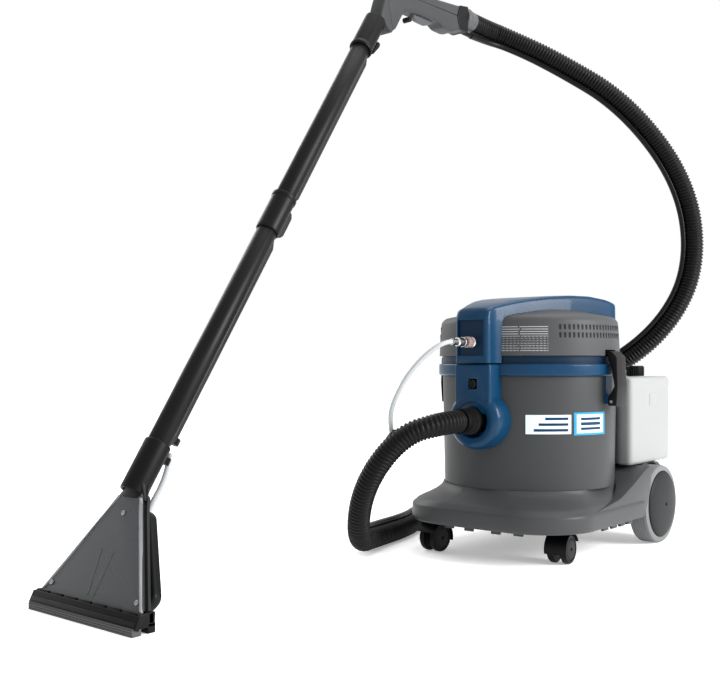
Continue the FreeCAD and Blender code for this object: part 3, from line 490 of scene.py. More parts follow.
class Repeat:
    """Geometry Nodes that lay copies of a small shape round an arc or along a line."""

    @staticmethod
    def tree(name: str, sizes: Sequence[str]) -> tuple[bpy.types.NodeTree, bpy.types.Node]:
        """Return a geometry tree with an input for each named size, and its input node."""
        tree = bpy.data.node_groups.new(name, "GeometryNodeTree")
        for way in ("INPUT", "OUTPUT"):
            tree.interface.new_socket("Geometry", in_out=way, socket_type="NodeSocketGeometry")
        for label in sizes:
            kind = "NodeSocketInt" if label == "Count" else "NodeSocketFloat"
            tree.interface.new_socket(label, in_out="INPUT", socket_type=kind)
        return tree, tree.nodes.new("NodeGroupInput")

    @staticmethod
    def run(item: bpy.types.Object, tree: bpy.types.NodeTree, shape: bpy.types.NodeSocket,
            material: bpy.types.Material, sizes: dict[str, float]) -> bpy.types.Object:
        """Make a tree's shape real, dress it, and run the tree on an item.

        Args:
            item: The piece that the tree works on.
            tree: The tree.
            shape: The socket that gives the finished geometry.
            material: The material of all of it.
            sizes: The value of each named input.

        Returns:
            The result as one plain mesh.
        """
        real = add(tree, "GeometryNodeRealizeInstances", {"Geometry": shape})
        dressed = add(tree, "GeometryNodeSetMaterial",
                      {"Geometry": real.outputs[0], "Material": material})
        add(tree, "NodeGroupOutput", {0: dressed.outputs[0]})
        part = item.modifiers.new("repeat", "NODES")
        part.node_group = tree
        for socket in tree.interface.items_tree:
            if socket.in_out == "INPUT" and socket.name in sizes:
                part[socket.identifier] = sizes[socket.name]
        return plain_mesh(item)

    @staticmethod
    def round_axis(shape: bpy.types.Object, count: int, pitch: float, start: float,
                   material: bpy.types.Material) -> bpy.types.Object:
        """Repeat a shape about the drum's axis.

        Args:
            shape: The first copy, where an angle of 0 would put it.
            count: The number of copies.
            pitch: The angle between copies, in degrees.
            start: The first copy's angle, in degrees.
            material: The copies' material.

        Returns:
            The copies as one plain mesh.
        """
        tree, source = Repeat.tree(shape.name + "_repeat", ("Count", "Pitch", "Start"))
        line = add(tree, "GeometryNodeMeshLine",
                   {"Count": source.outputs["Count"], "Start Location": (AXIS.x, AXIS.y, 0),
                    "Offset": (0, 0, 0)})
        centred = add(tree, "GeometryNodeTransform",
                      {"Geometry": source.outputs["Geometry"],
                       "Translation": (-AXIS.x, -AXIS.y, 0)})
        index = add(tree, "GeometryNodeInputIndex")
        step = add(tree, "ShaderNodeMath", {0: index.outputs[0], 1: source.outputs["Pitch"],
                                            2: source.outputs["Start"]}, operation="MULTIPLY_ADD")
        turn = add(tree, "ShaderNodeCombineXYZ", {"Z": step.outputs[0]})
        copies = add(tree, "GeometryNodeInstanceOnPoints",
                     {"Points": line.outputs["Mesh"], "Instance": centred.outputs["Geometry"],
                      "Rotation": turn.outputs[0]})
        sizes = {"Count": count, "Pitch": math.radians(pitch), "Start": math.radians(start)}
        return Repeat.run(shape, tree, copies.outputs[0], material, sizes)

    @staticmethod
    def ribbed_tube(route: bpy.types.Object, radius: float, pitch: float, depth: float,
                    material: bpy.types.Material) -> bpy.types.Object:
        """Carry a ring along a route, its radius rising and falling with each ridge.

        Args:
            route: The curve that the hose follows.
            radius: The radius over the ridges, in metres.
            pitch: The distance from ridge to ridge, in metres.
            depth: The ridge's depth as a share of the radius.
            material: The hose's material.

        Returns:
            The hose as one plain mesh.
        """
        tree, source = Repeat.tree(route.name + "_ridges", ("Radius", "Pitch", "Depth"))
        gap = add(tree, "ShaderNodeMath", {0: source.outputs["Pitch"], 1: 6.0},
                  operation="DIVIDE")
        fine = add(tree, "GeometryNodeResampleCurve",
                   {"Curve": source.outputs["Geometry"], "Length": gap.outputs[0]}, mode="LENGTH")
        along = add(tree, "GeometryNodeSplineParameter")
        turns = add(tree, "ShaderNodeMath", {0: along.outputs["Length"],
                                             1: source.outputs["Pitch"]}, operation="DIVIDE")
        angle = add(tree, "ShaderNodeMath", {0: turns.outputs[0], 1: math.tau},
                    operation="MULTIPLY")
        wave = add(tree, "ShaderNodeMath", {0: angle.outputs[0]}, operation="SINE")
        ridge = add(tree, "ShaderNodeMapRange",
                    {"Value": wave.outputs[0], "From Min": -0.8, "From Max": 0.6,
                     "To Min": 0.0, "To Max": 1.0})
        swing = add(tree, "ShaderNodeMath", {0: ridge.outputs[0], 1: source.outputs["Depth"]},
                    operation="MULTIPLY")
        low = add(tree, "ShaderNodeMath", {0: 1.0, 1: source.outputs["Depth"]},
                  operation="SUBTRACT")
        size = add(tree, "ShaderNodeMath", {0: swing.outputs[0], 1: low.outputs[0]},
                   operation="ADD")
        sized = add(tree, "GeometryNodeSetCurveRadius",
                    {"Curve": fine.outputs[0], "Radius": size.outputs[0]})
        ring = add(tree, "GeometryNodeCurvePrimitiveCircle",
                   {"Resolution": 22, "Radius": source.outputs["Radius"]})
        tube = add(tree, "GeometryNodeCurveToMesh",
                   {"Curve": sized.outputs[0], "Profile Curve": ring.outputs[0],
                    "Fill Caps": True})
        if "Scale" in tube.inputs:
            tree.links.new(size.outputs[0], tube.inputs["Scale"])
        made = Repeat.run(route, tree, tube.outputs[0], material,
                          {"Radius": radius, "Pitch": pitch, "Depth": depth})
        shade(made.data, 60)
        return made


@dataclass
class Viewpoint:
    """The camera: level, at knee height, turned to the machine's front right."""

    place: Point = (1043.5, -1822.4, 388.0)
    turn: float = 39.5
    lens: float = 49.25
    rise: float = 0.0354

    def build(self) -> None:
        """Add the camera and make it the scene's own."""
        data = bpy.data.cameras.new("viewpoint")
        data.lens = self.lens
        data.sensor_width = 36
        data.shift_y = self.rise
        data.clip_end = 60
        camera = bpy.data.objects.new("viewpoint", data)
        camera.location = metres(*self.place)
        camera.rotation_euler = (math.pi / 2, 0, math.radians(self.turn))
        bpy.context.scene.collection.objects.link(camera)
        bpy.context.scene.camera = camera


@dataclass
class Studio:
    """A white sweep under broad soft lights."""

    floor_reach: float = 14.0
    floor_glow: float = 0.3

    def build(self) -> None:
        """Add the floor, the room's light and the lamps."""
        mesh = bpy.data.meshes.new("floor")
        reach = self.floor_reach
        mesh.from_pydata([(-reach, -reach, 0), (reach, -reach, 0), (reach, reach, 0),
                          (-reach, reach, 0)], [], [[0, 1, 2, 3]])
        floor = bpy.data.objects.new("floor", mesh)
        bpy.context.scene.collection.objects.link(floor)
        paper = Finish("matt white paper sweep", "", "#fbfbfb", "#f6f6f6", 0.6, 30.0, 0.01)
        material = paper.material()
        shader = material.node_tree.nodes["Principled BSDF"]
        shader.inputs["Emission Color"].default_value = (1, 1, 1, 1)
        shader.inputs["Emission Strength"].default_value = self.floor_glow
        mesh.materials.append(material)
        world = bpy.data.worlds.new("room")
        bpy.context.scene.world = world
        world.use_nodes = True
        sky = world.node_tree.nodes["Background"]
        sky.inputs["Color"].default_value = (1, 1, 1, 1)
        sky.inputs["Strength"].default_value = 1.0
        bpy.context.scene.view_settings.view_transform = "Standard"
        self.lamp("key", (3.0, 0.9, 1.5), (0.1, 0.1, 0.3), 1.5, 165)
        self.lamp("fill", (-2.5, 0.5, 1.7), (0.1, 0.1, 0.3), 1.8, 30)
        self.lamp("top", (0.2, 1.0, 3.2), (0.1, 0.2, 0.2), 2.2, 52)

    @staticmethod
    def lamp(name: str, place: Point, aim: Point, size: float, power: float) -> None:
        """Add a square lamp at a place, turned to its aim, in metres."""
        data = bpy.data.lights.new(name, "AREA")
        data.size = size
        data.energy = power
        lamp = bpy.data.objects.new(name, data)
        lamp.location = place
        lamp.rotation_euler = (Vector(aim) - Vector(place)).to_track_quat("-Z", "Y").to_euler()
        bpy.context.scene.collection.objects.link(lamp)


@dataclass
class Hoses:
    """The corrugated suction hose, the black line along it, and the two clear tubes."""

    hose_route: Sequence[Point] = (
        (-218, 115, 1182), (-218, 178, 1182), (-190, 236, 1170), (-105, 304, 1120),
        (40, 400, 1010), (154, 486, 815), (170, 504, 610), (100, 462, 455), (-40, 408, 350),
        (-170, 405, 225), (-285, 345, 92), (-345, 210, 26), (-330, 60, 22), (-275, -60, 22),
        (-250, -205, 22), (-200, -325, 32), (-142, -378, 152), (-64, -364, 252),
        (0, -320, 277), (0, -262.8, 277))
    line_route: Sequence[Point] = (
        (-218, 112.4, 1150), (-218, 174, 1152), (-192.5, 228.3, 1145.8), (-112.3, 292.2, 1097.4),
        (28.3, 385.6, 991), (137, 467.3, 805.3), (152, 484.2, 614.5), (87.4, 445, 471.1),
        (-51.7, 391.9, 366.9), (-182.6, 388.7, 241.4), (-293, 331.5, 113.5),
        (-349.5, 204.5, 51.5), (-334.6, 58.2, 47.7), (-279.6, -61.9, 47.7),
        (-255.6, -204.9, 48.1), (-209.1, -313.9, 54.5), (-160, -359, 166),
        (-98.4, -346.7, 247.6))
    clear_route: Sequence[Point] = (
        (0, -286.4, 428), (-3, -308, 427), (-26, -334, 404), (-54, -352, 366),
        (-76, -362, 322), (-89, -362, 286), (-94.7, -347.7, 257.3))
    spray_route: Sequence[Point] = ((-218, -778, 240), (-218, -785, 213), (-218, -799, 185),
                                    (-218, -817, 162), (-218, -829.5, 138))

    @staticmethod
    def route(name: str, points: Sequence[Point], thick: float = 0) -> bpy.types.Object:
        """Return a smooth curve through a cord's route, with a round section if it is thick."""
        data = bpy.data.curves.new(name, "CURVE")
        data.dimensions = "3D"
        spline = data.splines.new("NURBS")
        spline.points.add(len(points) - 1)
        for spot, point in zip(spline.points, points):
            spot.co = (*metres(*point), 1)
        spline.order_u = 3
        spline.use_endpoint_u = True
        spline.resolution_u = 12
        data.bevel_depth = thick * 0.001
        data.bevel_resolution = 4
        data.use_fill_caps = True
        item = bpy.data.objects.new(name, data)
        bpy.context.scene.collection.objects.link(item)
        return item

    @staticmethod
    def followed(curve: bpy.types.Object) -> list[Point]:
        """Return the points along a curve that has no thickness."""
        bpy.context.view_layer.update()
        graph = bpy.context.evaluated_depsgraph_get()
        mesh = bpy.data.meshes.new_from_object(curve.evaluated_get(graph), depsgraph=graph)
        points = [tuple(vertex.co) for vertex in mesh.vertices]
        bpy.data.meshes.remove(mesh)
        return points

    def build(self) -> None:
        """Make every hose and line."""
        curve = self.route("suction_hose_ribbed", self.hose_route)
        path = self.followed(curve)
        hose = Repeat.ribbed_tube(curve, 0.0222, 0.0076, 0.12, Palette.HOSE.material)
        settle(hose, Palette.HOSE, MACHINE, ["suction_hose"])
        joint = lathe(softened([(0, -11), (6.4, -11), (6.4, -3), (7.2, -3), (7.2, 3), (6.4, 3),
                                (6.4, 11), (0, 11)], 1.2), 32)
        sleeve = joint.made("line_sleeve", Palette.BLACK, MACHINE, ["line_joint"],
                            place=lambda x, y, z: (-95 + x + 0.36 * z, -346 + y + 0.05 * z,
                                                   252 + 0.93 * z))
        line = self.route("solution_line_black", self.line_route, 6.5)
        settle(line, Palette.LINE, MACHINE, ["solution_line"])
        clear = self.route("solution_line_clear", self.clear_route, 4.5)
        settle(clear, Palette.CLEAR_TUBE, MACHINE, ["clear_line"])
        spray = self.route("spray_feed_clear", self.spray_route, 5)
        settle(spray, Palette.CLEAR_TUBE, MACHINE, ["spray_tube"])


@dataclass
class RecoveryTank:
    """Drum, blue ring with its lugs, inlet boss and the hose's cuff in it."""

    radius: float = 179.0
    foot_radius: float = 175.0
    low: float = 140.0
    high: float = 363.0
    inlet_high: float = 277.0

    def build(self) -> None:
        """Make the drum and everything fixed to it."""
        outside = softened([(self.foot_radius - 10, self.low), (self.foot_radius, self.low),
                            (self.radius, self.high), (self.radius - 4, self.high)], 1.5)
        lathe([(0, self.low), *outside, (self.foot_radius - 4, self.low + 5),
               (0, self.low + 4)], 160).made(
            "drum_wall", Palette.DRUM, MACHINE, ["drum"])
        ring = lathe(softened([(175, 363), (185, 362.6), (187, 365), (187, 384), (185.5, 386),
                               (175, 386)], 2, closed=True), 160, closed=True)
        for sign in (1, -1):
            ring.joined(side_prism([(-14, 307.5), (14, 307.5), (14, 324), (-14, 324)],
                              *sorted((sign * 176, sign * 199))))
            ring.joined(side_prism([(-14, 323), (14, 323), (14, 365), (-14, 365)],
                              *sorted((sign * 176, sign * 181.8))))
        ring.made("blue_rim", Palette.BLUE, MACHINE, ["tank_ring"], angle=40)
        self.build_latches()
        self.build_inlet()
        self.build_cuff()
        self.build_band()

    @staticmethod
    def build_latches(pivot: float = 195.0) -> None:
        """Make each latch's hooked lever and the grey plate on its outer face.

        Args:
            pivot: How far out the levers turn, from the drum's axis.
        """
        lever = softened([(pivot - 7, 304), (pivot + 10, 304), (pivot + 13, 342),
                          (pivot + 11, 399), (pivot, 411), (183, 411), (183, 404), (188, 404),
                          (188, 394), (pivot, 378), (pivot + 6.6, 342), (pivot - 7, 320)], 3,
                         closed=True)
        plate = softened([(pivot + 9.4, 302.6), (pivot + 11.4, 302.6), (pivot + 14.2, 342),
                          (pivot + 12.2, 399), (pivot + 1, 411.6), (pivot + 1, 409.4),
                          (pivot + 10, 398), (pivot + 12, 342)], 1.2, closed=True)
        gap = block((150, pivot + 6.6), (-14.4, 14.4), (292, 328))
        for name, sign in (("left", -1), ("right", 1)):
            def out(u: float, v: float, w: float, way: int = sign) -> Point:
                """Return the place of a lever's point: u outwards, v up, w along it."""
                return (way * u, w, v)

            body, finish = f"latch_{name}", Palette.BLACK
            prism(lever, -18.6, 18.6).made(
                f"latch_hook_{name}", finish, body, [f"latch_lever_{name}"], bevel=1.2,
                place=out, cutter=gap.moved(lambda x, y, z: (x, z, y)))
            prism(plate, -20, 20).made(f"latch_plate_{name}", Palette.LEVER, body, bevel=0.8,
                                       place=out)

    def build_inlet(self) -> None:
        """Make the round boss, the pillar over it and the pillar's round plug."""
        front = facing_front(0, self.inlet_high)
        profile = softened([(24, 150), (24, 196), (31, 198), (33, 216), (36, 218.5), (48, 218.5),
                            (56.5, 210), (58, 198), (58, 140), (24, 140)], 7, closed=True)
        lathe(profile, 96, closed=True).made("inlet_round_boss", Palette.BLUE, MACHINE,
                                             ["inlet_boss"], place=front, angle=50)
        block((-40, 40), (-217, -170), (290, 386)).made(
            "inlet_pillar", Palette.BLUE, MACHINE, bevel=4.5, steps=4,
            cutter=block((-9.5, 9.5), (-220, -205), (338, 357)))
        plug = lathe(softened([(0, 200), (8.8, 200), (8.8, 216), (6, 214), (0, 213)], 1), 32)
        plug.made("pillar_round_plug", Palette.BLACK, MACHINE, ["pillar_plug"],
                  place=facing_front(0, 347.5))

    def build_cuff(self) -> None:
        """Make the hose's stepped black cuff in the inlet."""
        profile: Outline = [(18, 150), (23.4, 150), (23.4, 216), (27, 218), (27, 227),
                            (24.6, 229)]
        for ridge in range(3):
            start = 231 + ridge * 5
            profile += [(23.4, start), (25, start + 1.2), (25, start + 2.8), (23.4, start + 4)]
        profile += [(24.4, 248), (24.4, 262), (18, 262)]
        lathe(profile, 72, closed=True).made("inlet_hose_cuff", Palette.BLACK, MACHINE,
                                             ["hose_cuff_tank"],
                                             place=facing_front(0, self.inlet_high), angle=40)

    def build_band(self) -> None:
        """Lay the plain coloured trim on the drum's right."""
        radius = 177.9
        for name, finish, angles, heights, thick in (
                ("trim_white_field", Palette.WHITE, (28, 57), (251, 288), 0.2),
                ("trim_light_frame", Palette.CYAN, (59, 86), (248, 292), 0.2),
                ("trim_white_panel", Palette.WHITE, (61, 84), (252, 288), 0.35)):
            wrapped(radius, angles, heights, thick).made(name, finish, MACHINE)
        stripes = Shell()
        for angles, heights, thick in (
                ((64, 81), (258, 263), 0.5), ((64, 81), (267, 273), 0.5),
                ((64, 81), (277, 282), 0.5), ((33, 55), (256, 261), 0.4),
                ((36, 55), (267, 272), 0.4), ((40, 55), (278, 283), 0.4)):
            stripes.joined(wrapped(radius, angles, heights, thick))
        stripes.made("trim_blue_stripes", Palette.BLUE, MACHINE)


@dataclass
class Trolley:
    """The grey wheeled base: skirt, rear shelf, fenders, wheels and casters."""

    half_width: float = 200.0
    front: float = -220.0
    wheel_back: float = 238.0
    wheel_radius: float = 83.5
    corner: float = 120.0

    def plan(self, inset: float, rear: float = 150) -> Outline:
        """Return the skirt's plan, a rounded rectangle, drawn in by an inset."""
        side, front, back = self.half_width - inset, self.front + inset, rear - inset
        outline: Outline = []
        corners = ((side, back, 24, 0), (-side, back, 24, 90), (-side, front, self.corner, 180),
                   (side, front, self.corner, 270))
        for x, y, radius, start in corners:
            centre_x = x - math.copysign(radius, x)
            centre_y = y - math.copysign(radius, y)
            for step in range(25):
                turn = math.radians(start + 90 * step / 24)
                outline.append((centre_x + radius * math.cos(turn),
                                centre_y + radius * math.sin(turn)))
        return outline

    def skirt(self) -> Shell:
        """Return the skirt: a rim that rolls in to meet the drum's foot."""
        levels = ((67, 7, 0), (68, 3, 0), (71, 0.8, 0), (76, 0, 0), (96, 0, 0), (100, 0.6, 0),
                  (102.5, 2.4, 0), (104, 4.5, 0), (108, 7, 0), (113, 12, 0.1), (118, 18, 0.3),
                  (124, 22, 0.6), (131, 24, 0.86), (137, 25, 0.97), (141, 26, 1))
        rings = []
        for height, inset, blend in levels:
            ring = []
            for x, y in self.plan(inset):
                reach = math.hypot(x, y)
                circle = 177.5 + (1 - blend) * 20
                ring.append((x * (1 - blend) + x / reach * circle * blend,
                             y * (1 - blend) + y / reach * circle * blend, height))
            rings.append(ring)
        return loft(rings)

    def build(self) -> None:
        """Make the base and its wheels."""
        self.skirt().made("trolley_skirt", Palette.BASE, MACHINE, ["base_shell"], angle=50)
        side_line = softened([(-118, 80), (-118, 99), (-60, 106), (20, 117), (80, 139),
                              (130, 161), (162, 171), (168, 171), (168, 130), (155, 100),
                              (140, 80)], 14, 5, closed=True)
        for name, sign in (("left", -1), ("right", 1)):
            low, high = sorted((sign * 120, sign * 197))
            drum_space = lathe([(0, 60), (177.6, 60), (177.6, 200), (0, 200)], 96)
            side_prism(side_line, low, high).made(
                f"trolley_flank_{name}", Palette.BASE, MACHINE, bevel=9, steps=4, angle=50,
                cutter=drum_space)
            self.build_fender(name, sign)
            self.build_wheel(name, sign)
        shelf = softened([(150, 96), (150, 171.5), (348, 171.5), (348, 128), (324, 96)], 8, 4,
                         closed=True)
        side_prism(shelf, -112, 112).made("trolley_shelf", Palette.BASE, MACHINE,
                                                     bevel=2)
        self.build_ribs()
        for side, angle, x in (("left", 176, -132), ("right", 4, 132)):
            self.build_caster(side, math.radians(angle), x)

    def build_fender(self, name: str, sign: float) -> None:
        """Make the arch that covers the inner half of a rear wheel."""
        outline: Outline = []
        for radius, turns in ((self.wheel_radius + 4.5, range(0, 181, 6)),
                              (self.wheel_radius + 12, range(180, -1, -6))):
            for turn in turns:
                angle = math.radians(turn)
                outline.append((self.wheel_back + radius * math.cos(angle),
                                min(171.5, self.wheel_radius + radius * math.sin(angle))))
        low, high = sorted((sign * 111, sign * 166))
        side_prism(outline, low, high).made(f"fender_{name}", Palette.BASE, MACHINE,
                                                       bevel=1.5, angle=40)

    def build_wheel(self, name: str, sign: float) -> None:
        """Make a rear wheel's grooved tyre and its domed cap."""
        radius, body = self.wheel_radius, f"wheel_{name}"
        place = facing_side(sign * 150, self.wheel_back, radius, sign)
        tread: Outline = [(6.1, 2), (60, 2), (74, 0), (radius - 2, 2), (radius, 5)]
        for groove in range(5):
            start = 8 + groove * 6
            tread += [(radius, start), (radius - 1.3, start + 0.6), (radius - 1.3, start + 1.8),
                      (radius, start + 2.4)]
        tread += [(radius, 37), (radius - 1.5, 40.5), (radius - 5, 42), (71.5, 42), (70.5, 40),
                  (70.5, 36), (6.1, 36)]
        lathe(tread, 128, closed=True).made(f"tyre_{name}", Palette.TYRE, body,
                                            [f"rear_wheel_{name}"], place=place)
        dome = [(70, 36), (70, 42)] + [(70 * math.cos(turn), 42.4 + 9.6 * math.sin(turn))
                                       for turn in [math.pi / 2 * step / 14 for step in range(13)]]
        dome += [(4, 51.9), (3.4, 49), (0, 49)]
        lathe([(9, 36)] + dome, 96).made(f"hub_dome_{name}", Palette.HUB, body,
                                         [f"hub_cap_{name}"], place=place, angle=45)

    def build_ribs(self) -> None:
        """Make the row of short ribs under the skirt."""
        ribs = Shell()
        for x, y in ((-70, -190), (-20, -196), (40, -194), (85, -186), (182, -20), (184, 15),
                     (185, 50), (185, 85)):
            wide, deep = (10, 3) if abs(x) < 100 else (3, 12)
            ribs.joined(block((x - wide, x + wide), (y - deep, y + deep), (58.5, 72)))
        ribs.made("skirt_ribs", Palette.BASE, MACHINE, bevel=1.2)

    def build_caster(self, side: str, angle: float, x: float) -> None:
        """Make a caster's hood and its pair of tyred discs."""
        cosine, sine = math.cos(angle), math.sin(angle)

        def turned(u: float, v: float, w: float) -> Point:
            """Return a place in the caster's own frame, which trails along +V."""
            return (x + u * cosine - v * sine, -125 + u * sine + v * cosine, w)

        hood: Outline = []
        for reach, turns in ((31.4, range(24, 196, 9)), (29.7, range(195, 23, -9))):
            hood += [(25 + reach * math.cos(math.radians(turn)),
                      28.5 + reach * math.sin(math.radians(turn))) for turn in turns]
        cover = side_prism(hood, -23, 23)
        cover.joined(block((-5.2, 5.2), (12, 38), (20, 59)))
        cover.joined(lathe(softened([(0, 58.6), (13, 58.6), (15, 60), (14.6, 67.6), (0, 67.6)],
                                    1.5), 32))
        cover.made(f"caster_hood_{side}", Palette.BLACK, f"caster_{side}",
                   [f"caster_bracket_{side}"], place=turned, angle=40)
        tyres, discs = Shell(), Shell()
        for sign in (-1, 1):
            def out(u: float, v: float, w: float, way: int = sign) -> Point:
                """Return a place on a disc's own axle, outward from the caster's middle."""
                return (way * w, 25 + u, 28.5 + v)

            tyres.joined(lathe(softened([(21, 7.6), (26.6, 7.6), (28.5, 9.6), (28.5, 17.2),
                                         (26.6, 19.8), (21.6, 20)], 1.2, closed=True), 48,
                               closed=True).moved(out))
            discs.joined(lathe(softened([(3.2, 8), (21, 8), (21.5, 18.9), (17, 20.3),
                                         (5, 20.8), (3.2, 20.8)], 1, closed=True), 48,
                               closed=True).moved(out))
        body = f"caster_pair_{side}"
        tyres.made(f"caster_tyres_{side}", Palette.BLACK, body, [f"caster_wheels_{side}"],
                   place=turned)
        discs.made(f"caster_discs_{side}", Palette.HUB, body, place=turned)


@dataclass
class Head:
    """The lift-off motor head: grey cover, vents, note panel, blue spine and coupler."""

    radius: float = 186.0
    arch: Sequence[tuple[float, float]] = ((-220, 484), (-212, 493), (-196, 499), (-170, 505.5),
                                           (-120, 515), (-60, 522.5), (0, 527), (50, 527),
                                           (95, 521.5), (135, 510), (165, 497), (183, 487))

    def dome_high(self, reach: float) -> float:
        """Return the cover's height at a distance from the axis."""
        profile = ((0, 505), (98, 496), (165, 483), (176, 479), (181.5, 470), (184, 440))
        for (near, top), (far, low) in zip(profile, profile[1:]):
            if reach <= far:
                return top + (low - top) * (reach - near) / (far - near)
        return 388

    def arch_high(self, y: float) -> float:
        """Return the spine's height along its middle."""
        for (near, low), (far, high) in zip(self.arch, self.arch[1:]):
            if y <= far:
                return low + (high - low) * (y - near) / (far - near)
        return self.arch[-1][1]

    def half_wide(self, y: float) -> float:
        """Return the spine's half width at a distance along Y."""
        if y < -196:
            return 38.0
        if y < 112:
            return 38 + (y + 196) * 103 / 308
        return min(141.0, math.sqrt(max(0.0, 184.5 ** 2 - y ** 2)))

    def build(self) -> None:
        """Make everything that lifts off with the head."""
        outside = softened([(self.radius - 0.6, 402.2), (self.radius, 403), (184.4, 440),
                            (182, 472), (174, 480.5), (98, 496), (0, 505)], 7, 5)
        inside = [(0, 501.5), (98, 492.5), (172, 477), (178.5, 469), (182, 402.2)]
        notches = Shell()
        for sign in (1, -1):
            low, high = sorted((sign * 174, sign * 200))
            notches.joined(block((low, high), (-23, 23), (396, 414)))
        lathe(outside + inside, 160, closed=True).made(
            "head_dome", Palette.HEAD, HEAD, ["head_cover"], angle=40, cutter=notches)
        self.build_vents()
        self.build_note()
        self.build_spine()
        self.build_coupler()
        self.build_switches()

    def build_vents(self) -> None:
        """Lay two rows of near-black plates on each side: painted shade where the open slots would
        show dark.
        """
        slot = Shell()
        for middle in (442, 457.5):
            outline = softened([(-2.1, middle - 5.2), (2.1, middle - 5.2), (2.1, middle + 5.2),
                                (-2.1, middle + 5.2)], 1.6, 3, closed=True)
            reach = 184.5 - (middle - 440) * 0.075
            slot.joined(prism(outline, reach - 2, reach + 0.25).moved(
                lambda u, v, w: (u, -w, v)))
        for name, start in (("right", 49), ("left", -49 - 3 * 19)):
            piece = slot.rough(f"vent_slots_{name}", upright)
            # The copies carry the painted shade colour of the vent slots.
            made = Repeat.round_axis(piece, 20, 3, start, Palette.SLOT_SHADE.material)
            shade(made.data, 30)
            settle(made, Palette.SLOT_SHADE, HEAD)

    def build_note(self) -> None:
        """Lay the note panel's plain pale bars on the cover."""
        bars = Shell()
        for row in range(11):
            low = 411 + row * 4.6
            reach = 185.7 - (low - 404) * 0.045
            gap = 0.6 * math.sin(row * 2.3)
            bars.joined(wrapped(reach, (13, 24 + gap), (low, low + 1.5), 0.25))
            bars.joined(wrapped(reach, (25 + gap, 41.5), (low, low + 1.5), 0.25))
        bars.made("note_bars", Palette.PALE, HEAD)

    def build_spine(self) -> None:
        """Make the blue spine that sweeps from the front pillar over the dome."""
        stations = ([-220, -219.4, -218, -215.5, -212] + [-204 + 8 * step for step in range(48)]
                    + [178, 182, 184])
        rings = []
        for y in stations:
            lip = max(0.0, 1 - (y + 220) / 8) ** 2 * 5 + max(0.0, (y - 172) / 12) ** 2 * 5
            wide = max(4.0, self.half_wide(y) - lip)
            top = self.arch_high(y) - lip * 1.2
            reach = math.hypot(wide, y)
            low = 388.0 if reach > 184 and y < 0 else min(self.dome_high(reach), top - 4) - 3
            corner = min(9.0, wide / 3)
            right = [(wide + 0.5, low), (wide, (low + top) / 2), (wide - 0.4, top - corner - 3)]
            right += [(wide - corner + corner * math.cos(turn) - 0.6,
                       top - corner - 1.2 + corner * math.sin(turn))
                      for turn in [math.pi / 2 * step / 6 for step in range(7)]]
            right += [(wide * 0.55, top - 0.3), (wide * 0.28, top)]
            ring = [(x, y, z) for x, z in right] + [(0, y, top)]
            ring += [(-x, y, z) for x, z in reversed(right)]
            rings.append(ring)
        hollow = block((-30, 28), (-226, -215), (402, 471))
        loft(rings).made("blue_spine", Palette.BLUE, HEAD, ["spine_cover"], angle=42,
                         cutter=hollow)
        block((-29.8, 27.8), (-216.2, -214.8), (402.2, 470.8)).made(
            "recess_panel", Palette.DEEP_BLUE, HEAD)

    def build_coupler(self) -> None:
        """Make the quick coupler, its rose ring and the plug on the clear line."""
        place = facing_front(0, 428)
        lathe(softened([(0, 215), (10.5, 215), (10.5, 219), (7, 221), (7, 243), (9.5, 243.5),
                        (9.5, 250), (0, 250)], 0.8), 48).made(
            "coupler_body", Palette.NICKEL, HEAD, ["quick_coupler"], place=place)
        sleeve: Outline = [(7.1, 223)]
        for ridge in range(4):
            start = 223 + ridge * 4
            sleeve += [(9.6, start + 0.2), (10.5, start + 1), (10.5, start + 2.6),
                       (9.6, start + 3.6)]
        lathe(sleeve + [(7.1, 239)], 48, closed=True).made(
            "coupler_rose_ring", Palette.ROSE, "coupler_sleeve", ["coupler_collar"], place=place)
        NODES["coupler_plug"].data.materials.clear()
        NODES["coupler_plug"].data.materials.append(Palette.NICKEL.material)

    def build_switches(self) -> None:
        """Make the two rockers at the spine's rear."""
        for name, x in (("vacuum", -24), ("pump", 24)):
            outline = softened([(103, 512), (103, 520.5), (116, 517.5), (129, 520.5), (129, 512),
                                (116, 507)], 2, closed=True)
            side_prism(outline, x - 9.5, x + 9.5).made(
                f"{name}_rocker_cap", Palette.BLACK, f"{name}_rocker", [f"{name}_switch"],
                bevel=0.8)


